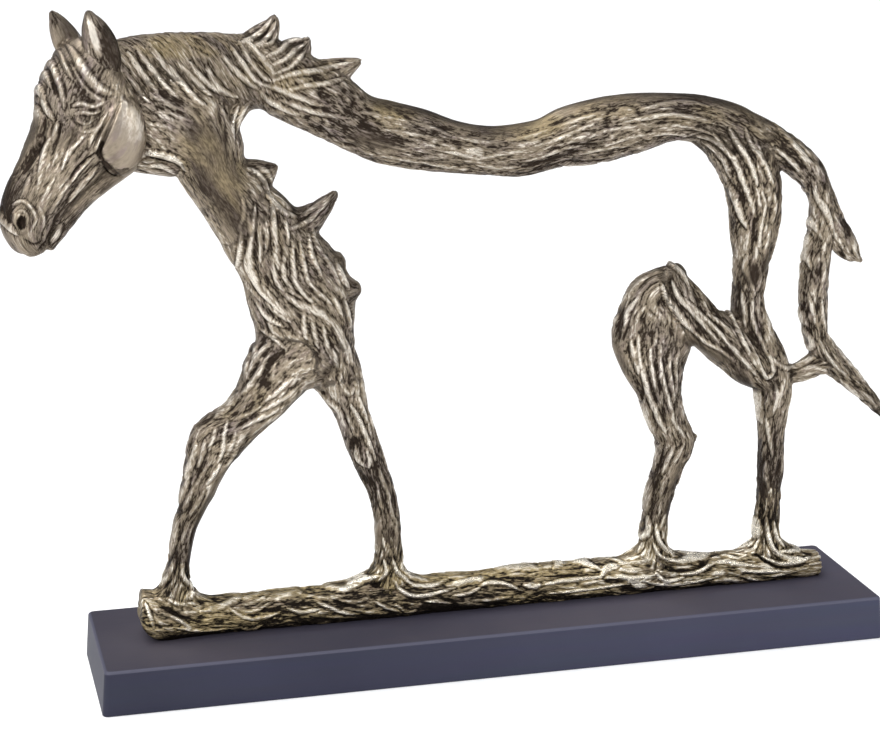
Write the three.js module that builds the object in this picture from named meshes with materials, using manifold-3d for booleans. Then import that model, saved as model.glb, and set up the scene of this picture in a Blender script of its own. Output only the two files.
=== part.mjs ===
import * as THREE from 'three';
import { mergeVertices } from 'three/addons/utils/BufferGeometryUtils.js';
import Module from 'manifold-3d';

const wasm = await Module();
wasm.setup();

// Driving dimensions, in millimetres. +X runs from the horse's nose to its tail, +Z is up,
// and the origin is the centre of the plinth's underside.
const horseHeight = 339; // underside of the ground log to the ear tips
const plinthLength = 442; // along the underside
const plinthDepth = 94;
const plinthThickness = 25;
const plinthDraft = 2; // how far each end face leans in from bottom to top
const plinthEase = 1.6; // rounded arrises along the top
const plinthChamfer = 0.6; // small bevel under the board
const plinthCorner = 3; // radius of the upright corners
const logGap = 0.3; // log's underside to the plinth's top
const headTurn = THREE.MathUtils.degToRad(13); // the nose comes forward of the body's plane

// The free form is drawn at a height of 339 with its floor at 25, and scaled to horseHeight.
const drawnHeight = 339;
const drawnFloor = 25;
const poll = { x: -186, z: 330 }; // the head turns about an upright line here
const strandDepth = 0.18; // how far the grooves between strands cut into a limb
const limbSides = 12;
const tuftSides = 6;
const rootSides = 5;
const lockSides = 4;
const lockRise = 0.8; // a lock's half depth as a share of its half width

// A limb's station is [x, z, half width across the path, half depth, y].
const limbs = {
  crest: {
    stations: [
      [-206, 327, 17, 15, 0], [-192, 328, 20, 16, 0], [-170, 328.7, 21.5, 15, 0],
      [-134, 328.5, 20, 14, 0], [-117, 327, 18.5, 14, 0], [-100, 318, 18.5, 14.5, 0],
      [-84, 309, 17.5, 14.5, 0], [-70, 300, 15.8, 14, 0], [-55, 294.3, 16.8, 14, 0],
      [-38, 290, 16.3, 13.5, 0], [-20, 285.2, 14.2, 13, 0], [0, 282.2, 13.2, 12.5, 0],
      [18, 281.6, 14.4, 12.5, 0], [33, 284.3, 14.3, 12.5, 0], [45, 288, 16, 12.5, 0],
      [60, 290, 17.6, 13, 0], [82, 293.3, 16.6, 13.5, 0], [104, 295.8, 13.2, 13.5, 0],
      [121, 293.8, 13.3, 13.5, 0], [138, 286, 16, 13.5, 0], [153, 277.5, 14.5, 12.5, 0],
    ],
    twist: 0.25,
  },
  rump: {
    stations: [
      [118, 293, 11, 12, 0], [135, 285, 15.5, 13, 0], [147, 271, 17, 13, 0], [152.5, 257, 16, 12.5, 0],
      [154, 243, 15, 12, 0], [153.6, 228, 13.2, 11.5, 0], [152.6, 214, 10.2, 10.5, 0],
      [151.5, 200, 8.9, 10, 0], [151.5, 188, 9.2, 10, 0], [155, 175, 10.5, 10, 0],
      [160.5, 162, 11.5, 10.5, 0], [166, 149, 11.5, 10.5, 0], [168.5, 136, 10.6, 10, 0],
      [168.3, 122, 8.6, 8.5, 0], [168, 105, 7.2, 8, 0], [168, 88, 6.9, 8, 0], [167.5, 70, 6.7, 8, 0],
      [167.3, 54, 6.8, 8.5, 0], [167.5, 40, 9, 9, 0],
    ],
    twist: 0.6,
    sides: 10,
  },
  ridge: {
    stations: [
      [105, 210.5, 5, 7, -2], [108, 203, 8, 9, -2.5], [115, 192, 10, 10.5, -3],
      [124, 179.5, 12, 11.5, -3], [134, 170.5, 12.5, 12, -3], [144.5, 161.5, 12.5, 12, -2.5],
      [154, 153, 12, 11.5, -2], [163, 145, 8, 9.5, -1],
    ],
    twist: 0.3,
    sides: 10,
  },
  thigh: {
    stations: [
      [107, 209, 6, 7, 0], [94, 198.5, 12, 9.5, 1], [94, 186, 20, 11.5, 2], [96, 172, 23.5, 12.5, 2],
      [97.2, 158, 19.5, 12, 1], [99.5, 146, 14, 11, 0], [102.5, 133, 11.3, 10, 0],
      [106.5, 121, 10.8, 9.5, 0], [110.2, 110.5, 11, 9.5, 0], [106.8, 99.5, 8.6, 8.8, 0],
      [102.8, 87, 7.9, 8.5, 0], [99.8, 73, 7.5, 8, 0], [98.3, 60, 7.2, 8, 0], [98.2, 50, 7.6, 8.5, 0],
      [98.5, 40, 9.5, 9, 0],
    ],
    twist: 0.35,
    sides: 10,
  },
  tailRoot: {
    stations: [
      [140, 289, 12, 11, 0], [160, 280, 11, 10.5, 0], [176, 270.5, 9.6, 9.5, 0], [187, 260, 8.6, 8.5, 0],
      [193, 246, 6.6, 8, 0], [193.5, 232, 7, 8, 0], [192.3, 218, 7.6, 8, 0], [191, 204, 8.3, 8, 0],
      [190.8, 190, 8.6, 8, 0], [191.8, 177, 7.6, 7.5, 0], [194.3, 165, 6.8, 7.5, 0],
      [201, 154.5, 7.6, 7.5, 0], [211.5, 144.5, 6.4, 6.5, 0], [222, 134.5, 5, 5.5, 0],
      [231.5, 124.5, 3.8, 4.2, 0], [239, 115.5, 1.6, 2, 0],
    ],
    twist: 0.5,
    sides: 8,
  },
  tailFin: {
    stations: [
      [190, 259, 5, 6, 0], [196, 246, 6, 6.5, 0], [200.5, 234, 6.6, 6.5, 0], [206, 223.5, 7.6, 6, 0],
      [211.5, 215.5, 6, 4.5, 0], [216.5, 211.2, 2.8, 2.6, 0], [219.5, 209.4, 1, 1.2, 0],
    ],
    twist: 0.1,
    sides: 8,
  },
  tailBridge: {
    stations: [
      [164, 146.5, 5, 6.5, 0], [176, 146.3, 4.6, 6, 0], [187, 147.6, 5, 6, 0], [199, 153, 6.5, 6.5, 0],
    ],
    twist: 0.1,
    sides: 8,
  },
  saddle: {
    stations: [[119, 183, 6, 8, -1], [133, 177.5, 10, 9, -0.5], [147, 184, 7, 8, 0]],
    twist: 0,
    sides: 8,
  },
  throat: {
    stations: [[-195, 289, 7, 11, 0], [-180, 285, 7, 12, 0], [-168, 282, 6, 12, 0]],
    twist: 0,
    sides: 8,
  },
  neck: {
    stations: [
      [-180, 318, 28, 18, 0], [-164, 306, 29.5, 18, 0], [-152, 291, 21.5, 17, 0],
      [-146, 276, 17.5, 16.5, 0], [-136, 262, 18.5, 16.5, 0], [-124.5, 247, 21.5, 17, 0],
      [-114, 232, 23.5, 17.5, 0], [-106, 217, 27.5, 17.5, 0], [-101.5, 204, 28.8, 17, 0],
      [-100.8, 191, 26.5, 16.5, 0], [-100.5, 179, 27.5, 15.5, 0], [-99.5, 168, 25, 13.5, 0],
      [-98.5, 158, 12, 9, 0],
    ],
    twist: 0.3,
    sides: 10,
  },
  nearFore: {
    stations: [
      [-104, 184, 19, 13, -1], [-115, 170, 19.5, 13, -1.5], [-124.5, 156.5, 15.5, 12, -2],
      [-136, 143.5, 12.3, 11, -2], [-150.5, 132, 14.8, 10.5, -2], [-156, 120.5, 11.8, 10, -2],
      [-160.5, 108, 9.5, 9, -1.5], [-164.5, 96.5, 7.5, 8, -1], [-168.3, 86, 6.3, 7.5, -0.5],
      [-171, 74, 5.9, 7.5, 0], [-173, 62, 6, 7.5, 0], [-174.8, 51, 7.2, 8.5, 0], [-176, 40, 9, 9.5, 0],
    ],
    twist: 0.4,
    sides: 10,
  },
  farFore: {
    stations: [
      [-95, 184, 18, 13, 1], [-86, 168, 15.5, 12, 2], [-79.5, 154, 11.8, 11, 2.5],
      [-75.5, 142, 9.4, 10, 2.5], [-72, 131, 9.2, 9.5, 2], [-68.5, 120, 9, 9, 2],
      [-64.8, 109.5, 8.3, 8.5, 1.5], [-60.5, 99, 7.6, 8, 1], [-58, 87, 7.4, 8, 0.5], [-56.5, 74, 7, 8, 0],
      [-56.5, 61, 6.9, 8, 0], [-57, 50, 7.8, 8.5, 0], [-57, 40, 10, 9, 0],
    ],
    twist: 0.5,
    sides: 10,
  },
  log: {
    stations: [
      [-194, 34.5, 17, 12, 0], [-186, 33.5, 16.5, 12.5, 0], [-172, 33, 13.4, 12.5, 0],
      [-152, 32, 11.2, 12, 0], [-120, 32, 11.4, 11, 0], [-84, 32, 12.6, 11, 0],
      [-57, 32.4, 13.4, 11.2, 0], [-34, 32.4, 12.3, 11, 0], [-12, 32.3, 11.6, 10.8, 0],
      [14, 32.6, 12.8, 10.6, 0], [50, 32.5, 12.5, 10.6, 0], [98, 32.4, 12.5, 11, 0],
      [130, 31.6, 10.4, 10.4, 0], [165, 31.8, 10.8, 10, 0], [184, 31, 8.6, 9.4, 0],
      [198.5, 30.6, 7.4, 8.6, 0],
    ],
    twist: 0.4,
    sides: 8,
    flatEnds: true,
  },
};

// Mane tufts that break the outline, each a lock that tapers to its tip.
const tufts = [
  [
    [-134, 334, 8, 7, 0], [-125, 341, 8, 6.5, 0], [-117.5, 347.5, 6.3, 5, 0], [-113.5, 353, 3.2, 3, 0],
    [-112.5, 356.5, 1, 1.2, 0],
  ],
  [
    [-124, 326, 9, 7, 0], [-112, 333.5, 9, 6.5, 0], [-103.5, 339.5, 6.5, 5, 0], [-98, 343.3, 3, 2.8, 0],
    [-95, 345.3, 1, 1.2, 0],
  ],
  [
    [-116, 317, 9, 8, 0], [-102, 323, 9, 7.5, 0], [-90, 326, 7.4, 6, 0], [-79, 329.3, 4.6, 4, 0],
    [-71.5, 331.6, 2.2, 2.2, 0], [-67.5, 332.6, 0.9, 1, 0],
  ],
  [
    [-143, 266, 12, 10, 0], [-130, 270.5, 10.5, 8, 0], [-120.5, 275, 6.5, 5.5, 0], [-115, 277.8, 2.8, 3, 0],
    [-112.5, 279, 1, 1.2, 0],
  ],
  [
    [-112, 240, 14, 11, 0], [-101, 247, 9.5, 8.5, 0], [-91.5, 254.3, 5.2, 5.5, 0],
    [-85.5, 260.4, 3, 3.4, 0], [-82.3, 263.6, 1.2, 1.4, 0],
  ],
  [[-104, 222, 12, 12, 0], [-93, 224.5, 9.5, 10, 0], [-84, 226.4, 6, 7.5, 0], [-79.5, 228.3, 2.4, 4, 0]],
  [[-96, 207, 14, 12, 0], [-85, 209.5, 11, 9.5, 0], [-76.5, 211.2, 6, 6, 0], [-71, 211.6, 2, 2.5, 0]],
];

// Locks of mane, shoulder and haunch that lie on both faces of the form. A station is
// [x, z, half width]; the lock rises out of the surface at one end and sinks back at the other.
const locks = [
  [[-199, 341, 1.6], [-188, 330, 3.8], [-179, 316, 3.8], [-172, 300, 1.6]],
  [[-178, 343, 1.6], [-166, 331, 4], [-154, 318, 4], [-142, 307, 1.6]],
  [[-152, 343, 1.6], [-141, 333, 4], [-128, 324, 4], [-112, 317, 1.6]],
  [[-139, 268, 1.6], [-136, 250, 4], [-130, 226, 4.4], [-118, 204, 1.8]],
  [[-122, 258, 1.6], [-120, 238, 4.2], [-112, 216, 4.4], [-96, 198, 1.8]],
  [[-114, 200, 1.8], [-103, 182, 4.4], [-91, 163, 4], [-79, 142, 1.8]],
  [[-117, 192, 1.8], [-121, 173, 4.2], [-131, 153, 4], [-149, 131, 1.8]],
  [[118, 299, 1.6], [138, 288, 4], [151, 268, 4], [157, 240, 1.8]],
  [[106, 203, 1.6], [120, 186, 4], [138, 167, 4.2], [160, 148, 1.8]],
  [[98, 197, 1.6], [83, 183, 3.8], [85, 164, 3.8], [95, 140, 1.6]],
];

// Roots: each foot spreads over the log in a short ridge forwards and one backwards.
const roots = [
  [[-177, 55, 3.5, 7, 0], [-183, 47.5, 4.6, 8, 0], [-194, 42, 2.4, 7, 0]],
  [[-171, 54, 3.5, 6, 0], [-165, 44, 4.4, 7.5, 0], [-149, 39, 2.4, 7, 0]],
  [[-60, 55, 3.5, 6.5, 0], [-67, 45.5, 4.6, 7.5, 0], [-90, 39.5, 2.4, 7, 0]],
  [[-54, 55, 3.5, 6.5, 0], [-48, 45, 4.6, 7.5, 0], [-29, 39.5, 2.4, 7, 0]],
  [[96, 54, 3.5, 6.5, 0], [89.5, 45.5, 4.4, 7.5, 0], [73, 40, 2.4, 7, 0]],
  [[100, 54, 3.5, 6.5, 0], [106, 44.5, 4.4, 7.5, 0], [123, 38.5, 2.4, 7, 0]],
  [[165, 52, 3.5, 6.5, 0], [160, 43.5, 4.2, 7.5, 0], [146, 38.5, 2.2, 7, 0]],
  [[170, 52, 3.5, 6.5, 0], [175.5, 43, 4.4, 7, 0], [190, 36.5, 2.4, 6, 0]],
];

// Head, drawn in its own side view; stations as for a limb.
const skull = [
  [-197, 337, 20, 12, 0], [-203.5, 329, 26, 17, 0], [-209, 316, 28.5, 18.5, 0], [-214, 303.5, 25.5, 18, 0],
  [-221.5, 292, 21.5, 16.5, 0], [-231, 279.5, 18.5, 15, 0], [-238.5, 269, 17.5, 13.5, 0],
  [-243, 258.5, 15.4, 12.5, 0], [-243, 250.5, 11.4, 11, 0], [-240.5, 245, 6.6, 8, 0],
];
const chin = [[-217, 269, 5, 8, 0], [-227, 259, 5.6, 8, 0], [-235, 248.5, 4.8, 7, 0]];
const jawRim = [[-184, 297, 6, 11, 0], [-194, 287, 6.5, 13, 0], [-207, 277, 5, 11, 0]];
const faceRidges = [
  [[-232, 333, 1.4], [-224, 323, 3.2], [-213, 318, 3.2], [-202, 320, 1.4]],
  [[-230, 322, 1.4], [-233, 305, 3], [-238, 290, 3], [-247, 272, 1.4]],
  [[-222, 302, 1.4], [-230, 285, 3], [-240, 267, 1.4]],
  [[-209, 292, 1.4], [-220, 277, 3], [-230, 262, 1.4]],
];
const cheek = { x: -199, z: 301, wide: 12.6, high: 20.5, deep: 5.5, out: 16, lean: 0.07 };
const eye = { x: -221, z: 311.5, wide: 4.6, high: 3.2, deep: 3.4, out: 15.8, lean: 0 };
const nostril = { x: -249, z: 259.5, wide: 2.8, high: 4.4, deep: 4, out: 14, lean: 0 };
const nostrilRim = { x: -248.6, z: 259.5, wide: 5, high: 6.6, deep: 3.4, out: 10.4, lean: 0 };
const mouth = [[-254, 247.5, 1.4, 4, 0], [-244, 250.5, 1.5, 4, 0], [-234, 256.5, 1.2, 3, 0]];
const mouthOut = 12.4;

// Ears: a leaf with a hollow that opens forwards and outwards; `face` turns the hollow.
const ears = [
  { base: [-201.5, 333], tip: [-211.5, 364.5], wide: 9, deep: 6, y: -9, face: -0.6 },
  { base: [-210.5, 334], tip: [-224.5, 363.5], wide: 7.6, deep: 5.6, y: 9, face: 0.5 },
];

const unit = horseHeight / drawnHeight;
const standing = plinthThickness + logGap;

/** Turns a drawn point into the object's frame. */
function place(x, y, z) {
  return new THREE.Vector3(x * unit, y * unit, (z - drawnFloor) * unit + standing);
}

/** Makes a solid from a closed geometry. */
function solidOf(geometry) {
  const plain = geometry.clone();
  plain.deleteAttribute('normal');
  plain.deleteAttribute('uv');
  const merged = mergeVertices(plain, 1e-4);
  const index = merged.index.array;
  const mesh = new wasm.Mesh({
    numProp: 3,
    vertProperties: Float32Array.from(merged.attributes.position.array),
    triVerts: Uint32Array.from(index),
  });
  mesh.merge();
  return new wasm.Manifold(mesh);
}

/** Turns a solid back into a geometry. */
function geometryOf(solid) {
  const mesh = solid.getMesh();
  const geometry = new THREE.BufferGeometry();
  geometry.setAttribute('position', new THREE.BufferAttribute(mesh.vertProperties, 3));
  geometry.setIndex(new THREE.BufferAttribute(mesh.triVerts, 1));
  return geometry;
}

/**
 * Carries a grooved oval along a smooth path through the stations, with one ring at each. Every
 * second corner of the oval is a groove, and the corners wind round the path by `twist` turns in
 * all. Each end closes on a point a little way out, or flat where the log is sawn off.
 */
function sweep(stations, options) {
  const { sides = limbSides, groove = strandDepth, twist = 0, flatEnds = false } = options;
  const path = new THREE.CatmullRomCurve3(
    stations.map(([x, z, , , y]) => place(x, y, z)), false, 'centripetal');
  const last = stations.length - 1;
  const points = [];
  const poles = [];
  stations.forEach(([, , drawnWide, drawnDeep], ring) => {
    const share = ring / last;
    const centre = path.getPoint(share);
    const along = path.getTangent(share);
    const depth = new THREE.Vector3(0, 1, 0).addScaledVector(along, -along.y).normalize();
    const width = new THREE.Vector3().crossVectors(depth, along).normalize();
    for (let side = 0; side < sides; side += 1) {
      const angle = (side / sides + twist * share) * Math.PI * 2;
      const reach = unit * (side % 2 ? 1 - groove : 1 + groove / 3);
      points.push(centre.clone()
        .addScaledVector(width, drawnWide * reach * Math.cos(angle))
        .addScaledVector(depth, drawnDeep * reach * Math.sin(angle)));
    }
    if (ring === 0 || ring === last) {
      const bulge = flatEnds ? 0 : 0.5 * unit * Math.min(drawnWide, drawnDeep);
      poles.push(centre.clone().addScaledVector(along, ring === 0 ? -bulge : bulge));
    }
  });
  const startPole = points.push(poles[0]) - 1;
  const endPole = points.push(poles[1]) - 1;
  const index = [];
  for (let side = 0; side < sides; side += 1) {
    const next = (side + 1) % sides;
    index.push(startPole, next, side);
    for (let ring = 0; ring < last; ring += 1) {
      const a = ring * sides + side;
      const b = ring * sides + next;
      index.push(a, b, b + sides, a, b + sides, a + sides);
    }
    index.push(endPole, last * sides + side, last * sides + next);
  }
  const geometry = new THREE.BufferGeometry().setFromPoints(points);
  geometry.setIndex(index);
  return geometry;
}

/** How far the surface of a swept form stands from the middle plane at a point of the side view. */
function skin(x, z, forms) {
  let depth = 0;
  for (const stations of forms) {
    for (let i = 0; i + 1 < stations.length; i += 1) {
      const [x0, z0, wide0, deep0] = stations[i];
      const [x1, z1, wide1, deep1] = stations[i + 1];
      const length = Math.hypot(x1 - x0, z1 - z0);
      const along = ((x - x0) * (x1 - x0) + (z - z0) * (z1 - z0)) / length ** 2;
      const share = THREE.MathUtils.clamp(along, 0, 1);
      const off = Math.hypot(x - x0 - share * (x1 - x0), z - z0 - share * (z1 - z0));
      const wide = THREE.MathUtils.lerp(wide0, wide1, share);
      const deep = THREE.MathUtils.lerp(deep0, deep1, share);
      depth = Math.max(depth, deep * Math.sqrt(Math.max(0, 1 - (off / wide) ** 2)));
    }
  }
  return depth;
}

/** A lock on one face of the forms: its middle lies half out of the surface, its ends just under. */
function lock(path, side, forms) {
  const stations = path.map(([x, z, half], i) => {
    const atEnd = i === 0 || i === path.length - 1;
    return [x, z, half, half * lockRise, side * (skin(x, z, forms) - (atEnd ? half : 0))];
  });
  return sweep(stations, { sides: lockSides, groove: 0 });
}

/** An oval ball whose middle is `out` from the middle plane on the given side. */
function ball({ x, z, wide, high, deep, out, lean }, side, columns = 8, rows = 4) {
  const centre = place(x, side * out, z);
  return new THREE.SphereGeometry(1, columns, rows)
    .scale(wide * unit, deep * unit, high * unit)
    .rotateY(lean)
    .translate(centre.x, centre.y, centre.z);
}

/** Joins a list of geometries into one solid. */
function join(geometries) {
  return geometries.map(solidOf).reduce((whole, piece) => whole.add(piece));
}

/** An ear: a leaf with a round back, hollowed by a slimmer leaf set towards its open face. */
function ear({ base, tip, wide, deep, y, face }) {
  const along = (share, half, thick, dx, dy) => [
    THREE.MathUtils.lerp(base[0], tip[0], share) + dx, THREE.MathUtils.lerp(base[1], tip[1], share),
    half, thick, y + dy,
  ];
  const leaf = [
    along(-0.15, wide * 0.55, deep * 0.8, 0, 0), along(0.2, wide * 0.85, deep, 0, 0),
    along(0.5, wide * 0.86, deep * 0.9, 0, 0), along(0.78, wide * 0.52, deep * 0.62, 0, 0),
    along(0.95, wide * 0.16, deep * 0.26, 0, 0),
  ];
  const shift = [Math.cos(face) * -3.4, Math.sin(face) * 3.4];
  const hollow = [
    along(0.16, wide * 0.3, deep * 0.5, ...shift), along(0.4, wide * 0.5, deep * 0.75, ...shift),
    along(0.62, wide * 0.44, deep * 0.66, ...shift), along(0.84, wide * 0.16, deep * 0.3, ...shift),
  ];
  const small = { sides: 6, groove: 0 };
  return solidOf(sweep(leaf, small)).subtract(solidOf(sweep(hollow, small)));
}

/** The head in its own side view, before it is turned. */
function head() {
  const parts = [
    sweep(skull, { groove: 0 }),
    sweep(chin, { sides: tuftSides, groove: 0 }),
    sweep(jawRim, { sides: tuftSides, groove: 0 }),
  ];
  const cuts = [];
  for (const side of [-1, 1]) {
    parts.push(ball(cheek, side, 10, 6), ball(eye, side, 6, 4), ball(nostrilRim, side));
    parts.push(...faceRidges.map((path) => lock(path, side, [skull])));
    const lips = mouth.map(([x, z, wide, deep]) => [x, z, wide, deep, side * mouthOut]);
    cuts.push(ball(nostril, side, 6, 4), sweep(lips, { sides: lockSides, groove: 0 }));
  }
  return join(parts).subtract(join(cuts)).add(ear(ears[0])).add(ear(ears[1]));
}

/** Turns the head about the upright line through the poll, keeping its reach in the side view. */
function turnedHead() {
  const pivot = place(poll.x, 0, poll.z);
  const geometry = geometryOf(head());
  geometry.translate(-pivot.x, 0, 0);
  geometry.scale(1 / Math.cos(headTurn), 1, 1);
  geometry.rotateZ(headTurn);
  geometry.translate(pivot.x, 0, 0);
  return solidOf(geometry);
}

/** The whole casting, with its log sawn flat underneath. */
function horse() {
  const forms = Object.values(limbs).map((limb) => limb.stations);
  const bodies = [
    ...Object.values(limbs).map((limb) => sweep(limb.stations, limb)),
    ...tufts.map((tuft) => sweep(tuft, { sides: tuftSides, groove: 0.1 })),
    ...roots.map((root) => sweep(root, { sides: rootSides, groove: 0 })),
    ...locks.flatMap((path) => [lock(path, -1, forms), lock(path, 1, forms)]),
  ];
  const whole = join(bodies).add(turnedHead());
  const reach = 2 * horseHeight;
  const below = new THREE.BoxGeometry(reach, reach, horseHeight);
  below.translate(0, 0, standing - horseHeight / 2);
  return whole.subtract(solidOf(below));
}

/** A rounded rectangle's outline as points, anticlockwise. */
function roundedOutline(length, depth, radius, z) {
  const points = [];
  const arc = 2;
  [[1, 1], [-1, 1], [-1, -1], [1, -1]].forEach(([sx, sy], corner) => {
    for (let i = 0; i <= arc; i += 1) {
      const angle = (corner + i / arc) * Math.PI / 2;
      points.push(new THREE.Vector3(
        sx * (length / 2 - radius) + radius * Math.cos(angle),
        sy * (depth / 2 - radius) + radius * Math.sin(angle), z));
    }
  });
  return points;
}

/** The board: drafted ends, rounded corners, arrises rounded along the top and bevelled below. */
function plinth() {
  const layers = [];
  const easeSteps = 2;
  const addLayer = (z, inset) => {
    const length = plinthLength - 2 * plinthDraft * (z / plinthThickness) - 2 * inset;
    layers.push(roundedOutline(length, plinthDepth - 2 * inset, plinthCorner - inset / 2, z));
  };
  addLayer(0, plinthChamfer);
  addLayer(plinthChamfer, 0);
  for (let i = 0; i <= easeSteps; i += 1) {
    const angle = (i / easeSteps) * Math.PI / 2;
    addLayer(plinthThickness - plinthEase * (1 - Math.sin(angle)), plinthEase * (1 - Math.cos(angle)));
  }
  const count = layers[0].length;
  const points = layers.flat();
  const bottom = points.push(new THREE.Vector3(0, 0, 0)) - 1;
  const top = points.push(new THREE.Vector3(0, 0, plinthThickness)) - 1;
  const index = [];
  const lastLayer = (layers.length - 1) * count;
  for (let i = 0; i < count; i += 1) {
    const next = (i + 1) % count;
    index.push(bottom, next, i);
    index.push(top, lastLayer + i, lastLayer + next);
    for (let layer = 0; layer < layers.length - 1; layer += 1) {
      const a = layer * count + i;
      const b = layer * count + next;
      index.push(a, b, b + count, a, b + count, a + count);
    }
  }
  const geometry = new THREE.BufferGeometry().setFromPoints(points);
  geometry.setIndex(index);
  return geometryOf(solidOf(geometry));
}

const champagneAluminium = new THREE.MeshStandardMaterial({
  color: 0x9c8c76,
  roughness: 0.38,
  metalness: 1,
});
const charcoalPaint = new THREE.MeshStandardMaterial({
  color: 0x3d3c48,
  roughness: 0.42,
  metalness: 0,
});

const sculpture = new THREE.Group();
const horseMesh = new THREE.Mesh(geometryOf(horse()), champagneAluminium);
horseMesh.name = 'horse';
const plinthMesh = new THREE.Mesh(plinth(), charcoalPaint);
plinthMesh.name = 'plinth';
sculpture.add(plinthMesh, horseMesh);

export default sculpture;
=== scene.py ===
import bpy
import numpy as np
from mathutils import Matrix, Vector


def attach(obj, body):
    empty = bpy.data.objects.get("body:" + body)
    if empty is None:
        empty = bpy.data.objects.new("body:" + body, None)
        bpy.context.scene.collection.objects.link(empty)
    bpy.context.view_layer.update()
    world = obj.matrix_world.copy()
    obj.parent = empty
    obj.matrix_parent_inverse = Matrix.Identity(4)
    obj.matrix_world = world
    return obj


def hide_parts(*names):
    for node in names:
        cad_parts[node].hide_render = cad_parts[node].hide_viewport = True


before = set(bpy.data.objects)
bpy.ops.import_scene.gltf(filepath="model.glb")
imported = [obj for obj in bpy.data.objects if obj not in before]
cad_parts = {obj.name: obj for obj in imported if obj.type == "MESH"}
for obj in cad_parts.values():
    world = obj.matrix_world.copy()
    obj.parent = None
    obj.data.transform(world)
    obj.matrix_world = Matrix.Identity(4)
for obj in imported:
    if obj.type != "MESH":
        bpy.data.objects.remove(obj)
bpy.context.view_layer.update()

MM = 0.001
TAU = 2 * np.pi
BOARD = dict(length=442, depth=94, thick=25, draft=2, corner=3, arris=1.6, chamfer=0.6)
LIFT = 0.3  # the casting is drawn standing on the board's top, and then rises this far above it


# Tables, in millimetres

def numbers(text):
    """Rows of numbers from a text in which a semicolon parts the rows."""
    return [[float(word) for word in row.split()] for row in text.split(";")]


def path(text):
    """Stations along a path: x, z, half width across the path, half depth and, where it isn't 0, y."""
    return [(row + [0.0])[:5] for row in numbers(text)]


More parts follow.
